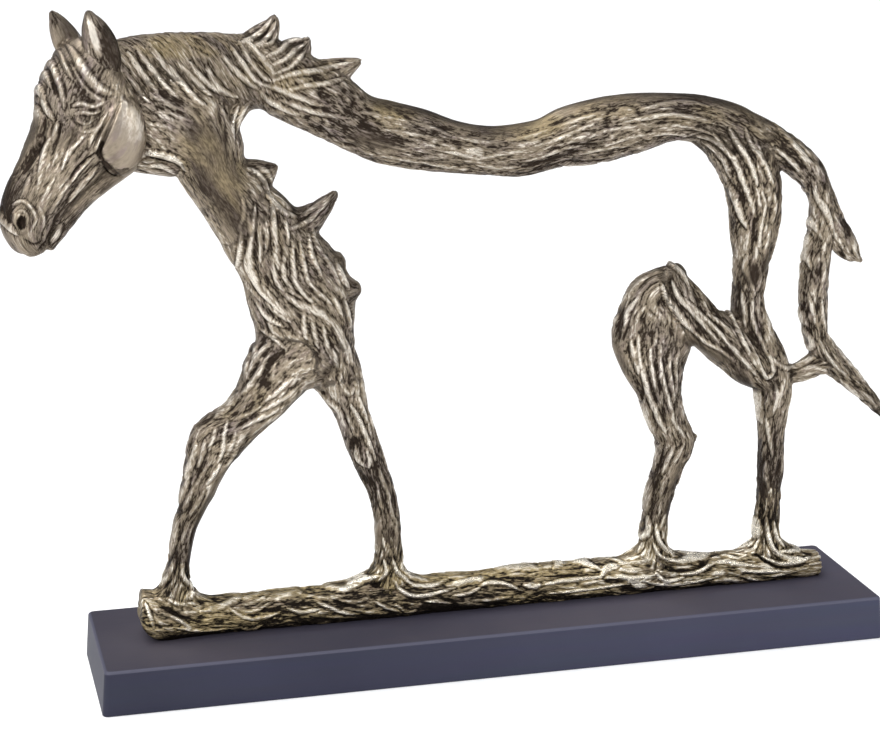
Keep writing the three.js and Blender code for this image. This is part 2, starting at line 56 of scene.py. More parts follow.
# A limb has a path, a twist of its strands in turns, and bark from 0 for smooth to 1 for rough.
LIMBS = {
    "crest": dict(twist=0, style="mane", stations=path("""
        -206 327 17 15; -192 328 20 16; -170 328.7 21.5 15; -134 328.5 20 14; -117 327 18.5 14;
        -100 318 18.5 14.5; -84 309 17.5 14.5; -70 300 15.8 14; -55 294.3 16.8 14;
        -38 290 16.3 13.5; -20 285.2 14.2 13; 0 282.2 13.2 12.5; 18 281.6 14.4 12.5;
        33 284.3 14.3 12.5; 45 288 16 12.5; 60 290 17.6 13; 82 293.3 16.6 13.5;
        104 295.8 13.2 13.5; 121 293.8 13.3 13.5; 138 286 16 13.5; 153 277.5 14.5 12.5""")),
    "rump": dict(twist=0.6, stations=path("""
        118 293 11 12; 135 285 15.5 13; 147 271 17 13; 152.5 257 16 12.5; 154 243 15 12;
        153.6 228 13.2 11.5; 152.6 214 10.2 10.5; 151.5 200 8.9 10; 151.5 188 9.2 10;
        155 175 10.5 10; 160.5 162 11.5 10.5; 166 149 11.5 10.5; 168.5 136 10.6 10;
        168.3 122 8.6 8.5; 168 105 7.2 8; 168 88 6.9 8; 167.5 70 6.7 8; 167.3 54 6.8 8.5;
        167.5 40 9 9""")),
    "ridge": dict(twist=0.3, stations=path("""
        105 210.5 5 7 -2; 108 203 8 9 -2.5; 115 192 10 10.5 -3; 124 179.5 12 11.5 -3;
        134 170.5 12.5 12 -3; 144.5 161.5 12.5 12 -2.5; 154 153 12 11.5 -2; 163 145 8 9.5 -1""")),
    "thigh": dict(twist=0.35, stations=path("""
        107 209 6 7; 94 198.5 12 9.5 1; 94 186 20 11.5 2; 96 172 23.5 12.5 2;
        97.2 158 19.5 12 1; 99.5 146 14 11; 102.5 133 11.3 10; 106.5 121 10.8 9.5;
        110.2 110.5 11 9.5; 106.8 99.5 8.6 8.8; 102.8 87 7.9 8.5; 99.8 73 7.5 8; 98.3 60 7.2 8;
        98.2 50 7.6 8.5; 98.5 40 9.5 9""")),
    "tail_root": dict(twist=0.5, stations=path("""
        140 289 12 11; 160 280 11 10.5; 176 270.5 9.6 9.5; 187 260 8.6 8.5; 193 246 6.6 8;
        193.5 232 7 8; 192.3 218 7.6 8; 191 204 8.3 8; 190.8 190 8.6 8; 191.8 177 7.6 7.5;
        194.3 165 6.8 7.5; 201 154.5 7.6 7.5; 211.5 144.5 6.4 6.5; 222 134.5 5 5.5;
        231.5 124.5 3.8 4.2; 239 115.5 1.6 2""")),
    "tail_fin": dict(twist=0.1, stations=path("""
        190 259 5 6; 196 246 6 6.5; 200.5 234 6.6 6.5; 206 223.5 7.6 6; 211.5 215.5 6 4.5;
        216.5 211.2 2.8 2.6; 219.5 209.4 1 1.2""")),
    "tail_bridge": dict(twist=0.1, stations=path("""
        164 146 8 8; 175 146.2 5.4 6.5; 186 147.6 5.6 6.5; 198 153 8 7""")),
    "saddle": dict(twist=0, stations=path("119 182 6 8 -1; 133 176.5 10 9 -0.5; 146 179 6 7")),
    "throat": dict(twist=0, bark=0.1, stations=path("-195 289 7 11; -180 285 7 12; -168 282 6 12")),
    "neck": dict(twist=0, bark=0.25, stations=path("""
        -180 318 28 18; -164 306 29.5 18; -152 291 21.5 17; -146 276 17.5 16.5;
        -136 262 18.5 16.5; -124.5 247 21.5 17; -114 232 23.5 17.5; -106 217 27.5 17.5;
        -101.5 204 28.8 17; -100.8 191 26.5 16.5; -100.5 179 26.5 15.5; -99.5 168 20 13.5;
        -98.3 160.5 5 8"""),
        flows=[path("""
            -180 318 28 18; -164 306 29.5 18; -152 291 21.5 17; -146 276 17.5 16.5;
            -136 262 18.5 16.5; -130 253 19 16.5"""),
               path("""
            -123 258 22 17; -119.5 241 24 17; -113 225 27 17.5; -102 209 29 17; -89 192 27 16;
            -79 173 24 14""")]),
    "near_fore": dict(twist=0.25, stations=path("""
        -104 184 19 13 -1; -115 170 19.5 13 -1.5; -124.5 156.5 15.5 12 -2;
        -136 143.5 12.3 11 -2; -150.5 132 14.8 10.5 -2; -156 120.5 11.8 10 -2;
        -160.5 108 9.5 9 -1.5; -164.5 96.5 7.5 8 -1; -168.3 86 6.3 7.5 -0.5; -171 74 5.9 7.5;
        -173 62 6 7.5; -174.8 51 7.2 8.5; -176 40 9 9.5""")),
    "far_fore": dict(twist=0.5, stations=path("""
        -95 184 18 13 1; -86 168 15.5 12 2; -79.5 154 11.8 11 2.5; -75.5 142 9.4 10 2.5;
        -72 131 9.2 9.5 2; -68.5 120 9 9 2; -64.8 109.5 8.3 8.5 1.5; -60.5 99 7.6 8 1;
        -58 87 7.4 8 0.5; -56.5 74 7 8; -56.5 61 6.9 8; -57 50 7.8 8.5; -57 40 10 9""")),
}
TUFTS = [
    path("""
        -142 331 10 9; -134 335 9.5 8; -125 341 9 7; -117.8 347.5 7.2 5.5; -114 353.5 4 3.4;
        -112.8 357 1.6 1.6"""),
    path("-126 324 12 9; -113 331.5 12 8; -104 336.5 9 6.5; -98.5 341 6 4; -95.3 344.5 2 1.8"),
    path("""
        -118 316 11 10; -102 321.5 11.5 9; -90 324.5 9.5 7; -79 328 6.5 5; -72 331 3.6 3;
        -68 332.6 1.5 1.5"""),
    path("""
        -146 265 14 12; -131 271.5 12.5 9.5; -122 275 9 7; -116.5 277.5 4.8 4.4;
        -113.8 279 1.8 1.8"""),
    path("-131 317 8 9; -136.5 309 7.5 10; -140.5 300 7 10; -142 289 5 9"),
    path("""
        -114 239 16 12; -102 246.5 10.5 9.5; -92 253.8 6.2 6.2; -86 259.6 3.8 4;
        -82.6 263.4 2.2 2.2"""),
    path("-104 221 15 12; -93 223.5 12.5 11; -85 225.5 9 9; -80.5 227.5 4.5 6"),
    path("-96 206 17 12; -85 208.5 14.5 11; -77 210.5 9.5 8.5; -71.5 211.4 4 4.5"),
    path("-152 135 9 8 -2; -157.5 139 5.5 6 -2; -161.5 141 2.2 3 -2"),
    path("110 110 8 7; 116 112.5 5.4 5; 121.5 114 2.4 2.6"),
    path("103 208 6 7 -1; 108 210.5 4.6 6 -1; 112 208 3 4.5 -1"),
]
ROOTS = [
    path("-177 55 3.5 7; -183 47.5 4.6 8; -194 42 2.4 7"),
    path("-171 54 3.5 6; -165 44 4.4 7.5; -149 39 2.4 7"),
    path("-60 55 3.5 6.5; -67 45.5 4.6 7.5; -90 39.5 2.4 7"),
    path("-54 55 3.5 6.5; -48 45 4.6 7.5; -29 39.5 2.4 7"),
    path("96 54 3.5 6.5; 89.5 45.5 4.4 7.5; 73 40 2.4 7"),
    path("100 54 3.5 6.5; 106 44.5 4.4 7.5; 123 38.5 2.4 7"),
    path("165 52 3.5 6.5; 160 43.5 4.2 7.5; 146 38.5 2.2 7"),
    path("170 52 3.5 6.5; 175.5 43 4.4 7; 190 36.5 2.4 6"),
]
LOG = dict(twist=0.3, bark=0.7, stations=path("""
    -194 35 17 12; -186 34.5 16 12.5; -172 34 12.8 12.5; -152 33.4 10.6 12; -120 33.4 10.6 11;
    -84 33.6 11.6 11; -57 34 12.4 11.2; -34 33.8 11.4 11; -12 33.4 11 10.8; 14 34 11.8 10.6;
    50 34 11.4 10.6; 98 34 11.4 11; 130 32.8 9.8 10.4; 165 32.8 10.2 10; 184 31.6 8.4 9.4;
    198.5 31 7.4 8.6"""))
HEAD = {
    "skull": dict(twist=0, stations=path("""
        -197 337 20 12; -203.5 329 26 17; -209 316 28.5 18.5; -214 303.5 25.5 18;
        -221.5 292 21.5 16.5; -231 279.5 18.5 15; -238.5 269 17.5 13.5; -243 258.5 15.4 12.5;
        -243 250.5 11.4 11; -240.5 245 6.6 8""")),
    "chin": dict(twist=0, stations=path("-217 269 5 8; -227 259 5.6 8; -235 248.5 4.8 7")),
    "jaw_rim": dict(twist=0, stations=path("""
        -184 296 6 11; -193 286 6.5 13; -205.5 277.5 6 12.5; -217.5 268 5.5 11;
        -228 256.5 5.5 9.5; -235.5 246.5 4.5 8""")),
}

# A stroke is its half width, its height (a cut is below zero), then the x, z pairs its middle runs
# through.
MANE_STROKES = numbers("""
    1.6 1.5 -185.5 345 -181.5 338 -177 332 -172 325 -165.5 318.5;
    1.6 1.5 -190 342.5 -186 335.5 -181 328 -176 322;
    1.4 1.2 -179 347 -175 340 -170 332.5 -164.5 325.5;
    1.6 1.5 -170 335.5 -164.5 327.5 -157 318 -152 314.5;
    1.4 1.2 -166 337.5 -159 329.5 -153 323 -147.5 318.5;
    1.6 1.5 -159 336.5 -154 329 -147.5 323 -141 318.5;
    1.6 1.5 -151 334.5 -148 328 -143 321.5 -135 317;
    1.6 1.5 -142.5 339.5 -136 331.5 -130.5 326 -124.5 321;
    1.6 1.5 -137.5 343.5 -132.5 335.5 -127.5 328 -121.5 322;
    1.5 1.3 -133 345.5 -128.5 336.5 -122.5 328.5 -117.5 324.5;
    1.5 1.3 -130 346.5 -125.5 341.5 -120.5 335 -115.5 328;
    1.3 1.1 -192 332.5 -187.5 326.5 -183.5 320.5 -180 317;
    1.3 1 -180 320.5 -174 318.5 -169 314.5 -162 312;
    1.2 0.9 -179 312 -172.5 312.5 -166 309.5 -160 307;
    1.2 0.8 -182.5 306 -175.5 305.5 -168 302; 1.3 1 -165 315.5 -159 311 -154 304.5;
    1.9 1.7 -187 288.5 -181 290.5 -173.5 289 -166 285.5 -162 280.5;
    1.4 1.2 -183 284 -175 283.5 -167 278.5;
    1.6 1.2 -124.5 321 -119.5 315.5 -112.5 311 -103 306.5;
    1.8 1.4 -122.5 324 -113 320.5 -103 316 -91.5 311.5;
    1.5 1.1 -113.5 315.5 -103 311 -90 307 -77 304.5; 1.2 0.5 -152 312 -148 301.5 -144 291;
    1.3 0.8 -144.5 314 -140.5 305 -140 293.5 -139 285.5;
    1.5 1.2 -134 313.5 -137.5 305 -138.5 296 -137 286.5; 1.4 1.1 -128 315 -133 308 -135.5 298.5""")
TUFTS_STROKES = numbers("""
    1.4 1.2 -134 344 -126 346.5 -118.5 351.5 -113.5 357;
    1.4 1.2 -128 341.5 -120.5 344.5 -115.5 349.5 -112.5 354.5;
    1.2 1 -121 342.5 -115.5 344.5 -112 349; 1.4 1.2 -120 337.5 -112.5 340 -105 344 -98.5 344.5;
    1.4 1.2 -118 333 -109.5 336 -103 340 -97.5 342.5;
    1.3 1.1 -116 329 -107.5 332 -101 336.5 -97.5 339.5;
    1.6 1.3 -118 325 -106.5 328.5 -91 329.5 -72.5 332;
    1.4 1.1 -112 319.5 -101.5 322 -88.5 323 -77.5 324.5;
    1.5 1.2 -131 280 -125.5 277.5 -121.5 272 -119.5 264.5;
    1.4 1.1 -124.5 280.5 -119.5 277 -117 270.5;
    1.5 1.2 -122.5 271 -118.5 263.5 -112.5 257 -105 253;
    1.5 1.2 -111 248 -100.5 250 -92.5 255.5 -85 263; 1.2 1 -103 253 -94.5 257 -87 262""")
SHOULDER_STROKES = numbers("""
    1.5 1.5 -135.5 251.5 -136 238.5 -137 227;
    1.8 1.8 -128 262 -130 249 -131.5 235.5 -130 225 -125.5 215.5 -119 208 -112 201;
    1.3 1.2 -132.5 259.5 -131 243.5 -133 230.5 -129 219.5;
    1.3 1.1 -127 253 -126 240.5 -126.5 230; 1.3 1.1 -123 253.5 -122.5 246 -123 238;
    1.8 1.3 -118.5 264 -118.5 251 -118 238.5; 1.3 1.1 -112 254 -111.5 246.5 -111.5 239.5;
    1.6 1.4 -109 242.5 -109 226.5 -107 218 -98.5 208;
    1.5 1.3 -105 242 -103.5 230.5 -101 220.5 -88.5 206.5;
    1.4 1.2 -99.5 244.5 -98.5 234 -93 221; 1.4 1.2 -92 233.5 -87.5 225 -83 215;
    1.5 1.3 -85 229.5 -81.5 220.5 -77.5 212.5; 1.3 1.2 -125.5 219.5 -120.5 212.5 -110 200.5;
    1.2 1 -124 210 -119 204.5 -111 198.5; 1.4 1.2 -128 210 -123 201.5 -114 195.5;
    2.3 1.2 -113.5 213.5 -105.5 207.5 -96 203 -85.5 193.5 -81 185;
    1.4 1.2 -114 234.5 -114 224 -109.5 215.5; 1.4 1.1 -120 231.5 -118 221.5 -114 215;
    1.5 1.2 -104 203.5 -104 196.5 -103 188.5; 1.5 1.2 -99.5 200 -98.5 192.5 -96.5 183.5;
    1.6 1.3 -94 196 -92 186.5 -89 176.5; 1.6 1.3 -88.5 197 -84.5 188 -80.5 179 -78.5 171.5;
    1.3 1 -126 194 -119.5 189.5 -113.5 183.5; 1.5 1.2 -81.5 208.5 -79 200 -77 190;
    1.4 1.1 -121 187 -126.5 181 -132 173; 1.3 1 -96.5 247 -95.5 239.5 -91.5 233;
    1.3 1.1 -89.5 213.5 -85.5 206.5 -82.5 198; 1.3 1 -134.5 267 -134 258.5 -137.5 248""")
FORELEGS_STROKES = numbers("""
    1.4 1.3 -128 184.5 -129.5 178 -132.5 171;
    1.5 1.3 -121.5 182 -126 174.5 -130.5 167.5 -137 159;
    1.6 1.4 -110 168 -115.5 163.5 -120 159.5 -126.5 156;
    1.4 1.2 -107 162.5 -113.5 157.5 -121 153.5 -129 150.5;
    1.5 1.2 -113.5 152 -122.5 148.5 -132 145 -142 140.5;
    1.3 0.9 -126.5 154 -136 149 -143 146.5; 1.5 1 -136.5 161 -143.5 153 -151.5 147;
    1.4 1.4 -145 146.5 -147.5 139 -148.5 130 -151.5 123.5;
    1.3 1.2 -151 143.5 -153.5 137 -156 130.5; 1.4 1.1 -141 140.5 -143 134 -146.5 126.5;
    1.4 1.3 -157.5 136.5 -159.5 128 -162 121;
    1.4 1.3 -162 135.5 -163.5 128 -166 120.5 -168 114; 1.5 1.4 -149 123.5 -153.5 117 -158 111;
    1.5 1.4 -158.5 108.5 -162.5 101 -167 93.5; 1.3 1.2 -162.5 113.5 -166.5 105 -170 96;
    1.2 1.1 -165.5 118 -168.5 108.5 -172 98.5; 1.3 1 -167 91.5 -169.5 85 -171.5 77;
    1.4 1.1 -172.5 93 -174.5 82 -177 71; 1.5 1.2 -175.5 69.5 -179 59.5 -185.5 52.5;
    1.5 1.2 -171 70.5 -171.5 60 -165.5 50.5; 1.2 0.8 -139 130.5 -144.5 123 -150 116;
    1.5 1.2 -89.5 183.5 -87 177 -85 169.5; 1.5 1.2 -82.5 188.5 -79 180.5 -76 170;
    1.5 1 -83.5 168.5 -82.5 160.5 -78.5 155 -75.5 159;
    1.6 1.6 -79 150.5 -75 143.5 -71.5 135.5 -68 126 -64 116;
    1.3 1.1 -73.5 153.5 -71 145.5 -67.5 136; 1.2 0.9 -83 152 -79 141.5 -75.5 131;
    1.4 1.3 -75 124.5 -74 117.5 -69.5 112.5; 1.4 1.3 -69.5 122.5 -67.5 117 -68.5 111.5;
    1.4 1.2 -63 112 -60 102.5 -56.5 93.5; 1.3 1.2 -64 104 -62.5 95 -60.5 86.5;
    1.3 1.1 -58.5 98 -56.5 88.5 -54.5 80.5; 1.4 1 -53.5 82.5 -53.5 71 -54 61;
    1.3 0.9 -61.5 83.5 -63 72 -63 60.5; 1.4 1.3 -60.5 59 -59.5 52 -64 46.5;
    1.5 1.4 -56 60 -53.5 51.5 -46 45; 1.4 1.2 -65 57 -69.5 51.5 -79.5 48""")
BACK_STROKES = numbers("""
    1.1 0.75 -71.5 307.5 -60.5 305 -49 302; 1.2 0.9 -62 298.5 -45 295 -28.5 291;
    1.2 0.9 -68.5 292.5 -55.5 289 -42 285; 1 0.9 -50 294.5 -39.5 290.5 -26 285.5;
    1 0.83 -61 284 -47.5 281 -34 278.5; 1.1 0.75 -44.5 301 -33 297.5 -22 292.5;
    1 0.9 -44 281 -28.5 277 -12.5 273.5; 1.1 0.9 -28.5 285.5 -17 282.5 -4.5 279;
    1.1 0.83 -22 292.5 -7 289 7 287; 1.1 0.9 -9 276.5 4 274.5 16 274.5;
    1.2 0.98 -7 280.5 7 282 20.5 283.5; 1.1 0.83 7 288.5 20.5 290 32.5 293.5;
    1.1 0.9 15 277 26 279 37 282.5 48.5 284.5; 1.2 1 20.5 284.5 34.5 288 48 293 58 297;
    1.2 0.75 37 294.5 51 299 65 302; 1.1 0.98 51 287.5 59.5 291.5 71.5 293 84.5 294.5;
    1.1 0.9 45.5 279 58.5 281.5 72 283.5; 1.3 0.9 37.5 274.5 48.5 272.5 61 273;
    1 0.9 62 283.5 75 287.5 90.5 289.5; 1.3 1.1 81.5 302 96 304.5 110 305 122.5 302;
    1.4 1.2 69.5 295 84.5 298 100 299 116 296 125 293;
    1 0.9 90.5 293.5 101.5 293.5 115 290.5 125.5 286.5; 1 0.9 86.5 288 98 289 111.5 286.5""")
RUMP_AND_TAIL_STROKES = numbers("""
    2 1.8 132 290.5 136.5 283.5 142.5 275 147 267 150 258;
    1.7 1.5 142 290 145 282 151 274.5 156 266 160.5 256.5;
    1.3 1.1 147 285 151 276.5 155.5 268.5 159 262;
    1.8 1.6 123.5 288 130.5 279.5 136.5 272.5 141 263.5 145 254 149.5 243.5;
    1.4 1.1 118.5 283.5 127 277.5 132.5 270.5 136 262; 1.4 1.1 114 287 123 284.5 131.5 277.5;
    1.6 1.3 137 257.5 140.5 248.5 143.5 239 146.5 233.5; 1.4 1.1 134 253 136.5 243 139 232.5;
    1.3 1.1 145.5 254.5 147.5 247.5 150 240;
    1.5 1.3 152 256.5 155 247.5 153.5 237.5 152.5 227.5 154 220;
    1.5 1.1 160.5 254 162 245 160 235; 1.4 0.97 159 233 157 224 156.5 215;
    1.6 1.2 147 219.5 146 212 149 203 151.5 196; 1.5 1.1 142.5 215.5 141.5 205.5 141 195.5;
    1.4 1.1 152.5 215 154.5 207 153.5 198; 1.5 1.2 145 198.5 146.5 187 147.5 177;
    1.6 1.3 139.5 192 140.5 182 144 171.5 150 160.5 156 151;
    1.5 1.2 151 195 150.5 183.5 154.5 173 159.5 163.5;
    1.5 1.5 145.5 175 151.5 163 156 152.5 160 148.5 164 151.5 162 158 157 166;
    1.4 1.1 159.5 163.5 166 156 173 152 180.5 151;
    1.6 1.2 162.5 290.5 171.5 280.5 178 271.5 184 261.5;
    1.6 1.3 159 279 167.5 273 174.5 266.5 180 259.5; 1.3 0.97 166 285.5 175.5 276.5 184.5 267;
    1.6 1.3 184.5 258.5 188.5 248 194.5 237.5 200 227 206 218;
    1.4 1.1 182.5 253 184.5 242.5 187 233.5 193 223; 1.3 1.1 190 248 194.5 240 199 230.5;
    1.5 1.2 183 233.5 185.5 224.5 184 217 186.5 207.5;
    1.4 0.97 180 220.5 179.5 209 179.5 197.5; 1.4 1.1 191.5 218.5 193.5 207 192 196;
    1.5 1.1 179 191 182.5 182.5 186 174.5; 1.4 1.1 185 194 188 183.5 191.5 173;
    1.3 1.1 192.5 191 194 180.5 196.5 171.5; 1.4 1.1 185.5 172 189.5 163.5 187.5 157;
    1.5 1.2 192 168 196.5 159 203.5 151 211 143.5;
    1.5 1.2 197 170.5 204.5 161.5 213.5 150.5 223.5 139; 1.3 1.1 207 142.5 214 136.5 223 128.5;
    1.3 0.88 181.5 149 190 151 199 148""")
HIND_LEGS_STROKES = numbers("""
    1.9 1.9 97.5 205.5 100 198.5 104.5 191.5 110.5 183.5 116.5 176.5;
    1.7 1.7 103 207 106 198.5 113 190.5 121 181 129.5 171;
    1.5 1.4 109 197.5 118.5 188 128.5 178 137 168.5;
    1.4 1.2 114 179 122.5 171.5 131 166.5 139.5 159;
    1.6 1.5 128.5 177 137 168.5 145 159 153 150; 1.4 1.2 121.5 188.5 132 181 139 173;
    1.5 1.4 95 213 99.5 216 105 214.5 110 208.5 112.5 201.5;
    1.4 1.3 75.5 196.5 71.5 188.5 69.5 179.5; 1.3 1.3 80 198.5 75.5 190.5 73.5 181;
    1.3 1.3 85.5 198.5 79.5 190 77.5 181; 1.3 1.1 88.5 194 84 186.5 83 177.5;
    1.4 1.2 80 176.5 82 165 85.5 153.5;
    1.7 1.6 84.5 177.5 84.5 166.5 87.5 154.5 91 143 94.5 132;
    1.5 1.4 90 176 91 163.5 93 152 96.5 139;
    1.6 1.5 96.5 172.5 96.5 160.5 99 148.5 103 136 106 126.5;
    1.4 1.3 103 168.5 102 158 104 146.5 106 137; 1.4 1.2 108.5 167 106 158 107.5 147.5;
    1.5 1.4 93.5 139 97 128.5 102 119; 1.3 1.1 89.5 138.5 93 127.5 97 117;
    1.4 1.2 103.5 129 108.5 122 113.5 115.5; 1.4 1.3 100.5 113 98.5 103.5 95.5 93.5;
    1.4 1.2 106.5 112.5 103.5 103.5 100 94.5; 1.3 1 112.5 113.5 109 106.5 105 98.5;
    1.4 1.1 95.5 91.5 94 82 93 71.5; 1.3 0.9 101 93 99.5 81.5 98.5 70;
    1.5 1.3 93.5 70 93 60.5 87.5 53; 1.6 1.4 97 67.5 98.5 56.5 105.5 47.5;
    1.5 1.3 158 140.5 159 129.5 161 119; 1.5 1.3 165.5 144.5 167 135 165 124.5;
    1.4 1.1 171.5 147.5 169 138.5 168 129; 1.4 1.3 162 123.5 164.5 111.5 166.5 99.5;
    1.4 1.2 157.5 117 159 106 159 94.5; 1.3 1 163.5 98.5 163.5 88 165.5 78.5;
    1.5 1.3 160.5 63 160.5 53.5 154 46.5; 1.7 1.7 164 64 165 53 168.5 44.5 177.5 38.5 187.5 37;
    1.3 1.1 168 62.5 170 52.5 176 45""")
BODY_STROKES = (MANE_STROKES + TUFTS_STROKES + SHOULDER_STROKES + FORELEGS_STROKES
                + BACK_STROKES + RUMP_AND_TAIL_STROKES + HIND_LEGS_STROKES)
LOG_STROKES = numbers("""
    1.4 1.1 -192.5 47.5 -190.5 40.5 -188.5 33; 1.4 1.1 -185 42 -174.5 36.5 -168 31;
    1.2 1.2 -179 33.5 -164 29.5 -147.5 29; 1.4 0.92 -182 48.5 -173 44.5 -163.5 43.5;
    1.4 0.92 -163.5 40 -151.5 41 -139 43.5; 1.3 1 -148 40.5 -139 34.5 -130 33 -120 35.5;
    1.2 1.2 -142 28.5 -135 26.5 -129 29.5; 1.4 0.92 -126 42 -117 42.5 -106 43.5;
    1.3 1.4 -116 37.5 -108.5 34.5 -97.5 35; 1.4 1.4 -100.5 40 -92 35.5 -83.5 31.5 -75.5 30;
    1.5 1.2 -93 44.5 -82 43.5 -73 47 -62.5 50; 1.3 0.92 -86.5 39 -77.5 37 -69.5 39;
    1.3 1.3 -67.5 37 -59.5 32 -52.5 29; 1.3 1.2 -55.5 34 -48 28.5 -42.5 29;
    1.4 1.4 -56 48 -52.5 42 -44.5 37.5 -34.5 37.5 -20.5 39.5;
    1.4 1.2 -51.5 50 -46 44 -35.5 41.5 -24 43.5; 1.2 1.1 -42.5 33 -33.5 33.5 -23 31;
    1.3 1.1 -23 35.5 -14 36 -6 38.5; 1.3 1.3 -8 38.5 -1 40.5 9 39 17.5 34.5;
    1.2 1.1 -12.5 32 -1 31 11.5 31.5; 2 1.4 18.5 38 24 36.5 29 37;
    1.4 0.79 4.5 45.5 16 46 30.5 44.5; 1.4 1.2 29 36.5 40.5 38 53.5 38 64.5 38.5;
    1.2 1.1 31 31.5 46.5 31.5 63 32 81 33; 1.3 1.2 37 44 47.5 46.5 58.5 44.5 65.5 41.5;
    1.7 1.1 63 37.5 68 42 76 43; 1.4 1.1 76 46.5 84 49.5 90 54.5;
    1.5 1.5 95.5 55 98.5 48 107.5 43 122.5 42.5 136 44 148 44.5;
    1.4 1.2 96 38.5 102.5 32.5 113.5 33.5;
    1.4 1.3 111 35.5 123 36 133.5 40.5 147 38 160.5 35.5;
    1.2 1.1 87 34.5 100 30.5 117 30 135 32; 1.3 0.92 136 49.5 147 46.5 156.5 49.5;
    1.4 1.4 161.5 41 171.5 36 183 35.5 192.5 37; 1.2 1.1 146 34.5 164.5 32 184 32;
    1.3 1.1 171.5 43 182.5 41.5 192.5 41; 1.4 -1.7 96 46 105 39 117 37.5 129 40 141 41;
    1.2 -1.5 158 42.5 165.5 37 175.5 32.5 191.5 34.5; 1 -1.2 -136.5 34 -129.5 36.5 -120 37;
    1 -1.2 -118.5 40.5 -108.5 38 -100.5 37; 1 -1.3 -92 40 -82 35.5 -74 33.5;
    1.1 -1.3 -52.5 36 -41.5 34 -30 30.5; 0.9 -1.2 -7 39 2.5 36.5 12.5 35.5;
    0.9 -1.1 30.5 41 45.5 40.5 60.5 39.5; 1.1 -1.1 -185 45.5 -176.5 40 -166 35.5""")
FACE_STROKES = numbers("""
    1.5 1.4 -240.5 322 -236.5 313 -239 302.5 -244.5 293.5 -250.5 284;
    1.2 0.9 -233.5 302.5 -236.5 297 -239 290 -241.5 281.5;
    1.3 1 -230 310.5 -231.5 305.5 -233 301; 1.3 1.1 -235.5 322 -234 316 -231.5 310.5;
    1.4 1 -236.5 334 -236 327 -234.5 320; 1.5 1 -228.5 342 -229 335.5 -227.5 325.5 -227 316.5;
    1.5 1 -224.5 345 -224 338 -222 331; 1.4 0.8 -232.5 340.5 -232.5 333.5 -231.5 326.5;
    2.8 1.1 -220 346.5 -218 340 -215 333 -210 326.5 -203.5 323;
    1.8 1 -222 338 -219 329.5 -214.5 323.5 -207.5 320;
    1.5 1.2 -223.5 318 -219.5 319 -213.5 317.5 -206.5 319.5;
    1 1 -223 314 -219 315 -214 314 -209.5 315; 1 0.9 -222 310.5 -218 309 -213 311;
    1.2 0.8 -221.5 306 -216.5 305 -211 307;
    1.3 1.2 -206.5 314 -210.5 308 -214.5 302.5 -216.5 296.5;
    1.3 1.2 -203.5 313.5 -207.5 307 -211 300 -213.5 294;
    1.4 1.2 -217.5 303.5 -222.5 299 -227 293.5 -230 286.5;
    1.2 0.9 -224.5 303 -227.5 298.5 -230.5 292.5;
    1.4 1.2 -214 292 -219 288 -223.5 283 -227.5 277;
    1.6 1.3 -211 287 -216.5 280.5 -222 274.5 -227 269; 1.2 1 -221.5 285 -226.5 279 -232 272.5;
    1.2 0.9 -233.5 283 -237 277 -240 271; 1.2 1 -229 275.5 -233 269.5 -236.5 264;
    1.4 1.1 -225 268 -230.5 262 -234 256.5; 1.1 0.9 -238 288 -240.5 281.5 -243 274.5;
    1.1 0.8 -244.5 283.5 -246.5 279 -249 274;
    1.2 1 -257.5 269.5 -258.5 264.5 -256 258.5 -252 254;
    1.2 1.1 -253.5 269.5 -249 271.5 -245.5 268 -243.5 262.5 -246 256;
    0.9 0.8 -252.5 266.5 -249.5 267 -247.5 264 -248.5 259;
    1.1 0.8 -241.5 268.5 -239.5 262 -241 255; 1.8 1.3 -235 248.5 -232 253 -229.5 258;
    1.3 -2.2 -235.5 303 -239 297.5 -242.5 291.5 -247 284.5;
    0.9 -0.9 -229 309.5 -230.5 302.5 -233 296 -235.5 287;
    1 -1.1 -223 341 -221 333 -217.5 325.5 -211.5 320.5;
    1.1 -1.3 -211.5 293.5 -215 292.5 -219 289.5 -223.5 285 -226.5 279;
    0.9 -1 -230.5 338.5 -230.5 329.5 -229.5 321.5; 1 -1 -249 252 -244.5 249 -240 250.5;
    1.1 -1.4 -242.5 245 -238 250 -234 257 -227.5 265 -220 272;
    1.1 -1.8 -200 318.5 -206.5 307.5 -210 299 -211.5 293.5 -209.5 289.5;
    1.1 -1.4 -209.5 289.5 -205 284 -199 279.5; 1.6 -1 -221.5 305 -225.5 300 -229.5 295.5;
    0.8 -0.8 -255.5 266.5 -255.5 261.5 -253 257.5""")

# Rubbed and golden places: x, z, reach along, reach across, lean in degrees, and tone or share (0 to 1).
# The smooth places' tones are mostly painted shade; the row on the ear's rim is a painted highlight.
SMOOTH_AND_SHADED_BODY = numbers("""
    -149 284 34 15 -68 0.23; -140 257 18 10 -60 0.21; -144 118 24 3.4 52 0.22; -160 93 20 3 68 0.2;
    -165.5 70 14 4 84 0.24; -58 66 12 5 90 0.22; -63.5 68 20 2.4 90 0.3; 107 92 12 3 75 0.2;
    103.5 70 14 3 80 0.2; 166 75 12 6 90 0.2; 124 166 22 4 -28 0.22; 147 146 16 4 -62 0.22;
    73 165 22 5 -68 0.24; 158 215 9 4 90 0.18; 150 208 8 6 90 0.14; -64 292 16 5 -15 0.2""")
SMOOTH_AND_SHADED_LOG = numbers("-170 22 24 6 -4 0.1")
SMOOTH_AND_PAINTED_LIGHT_HEAD = numbers("""
    -210.4 352 11 2.4 102 0.85; -199.5 343 20 7 108 0.2; -203 280 14 6 40 0.2; -260 252 9 6 -50 0.36;
    -222 268 14 4 42 0.22; -219 350 15 8 60 0.34; -226 302 9 4 50 0.24""")
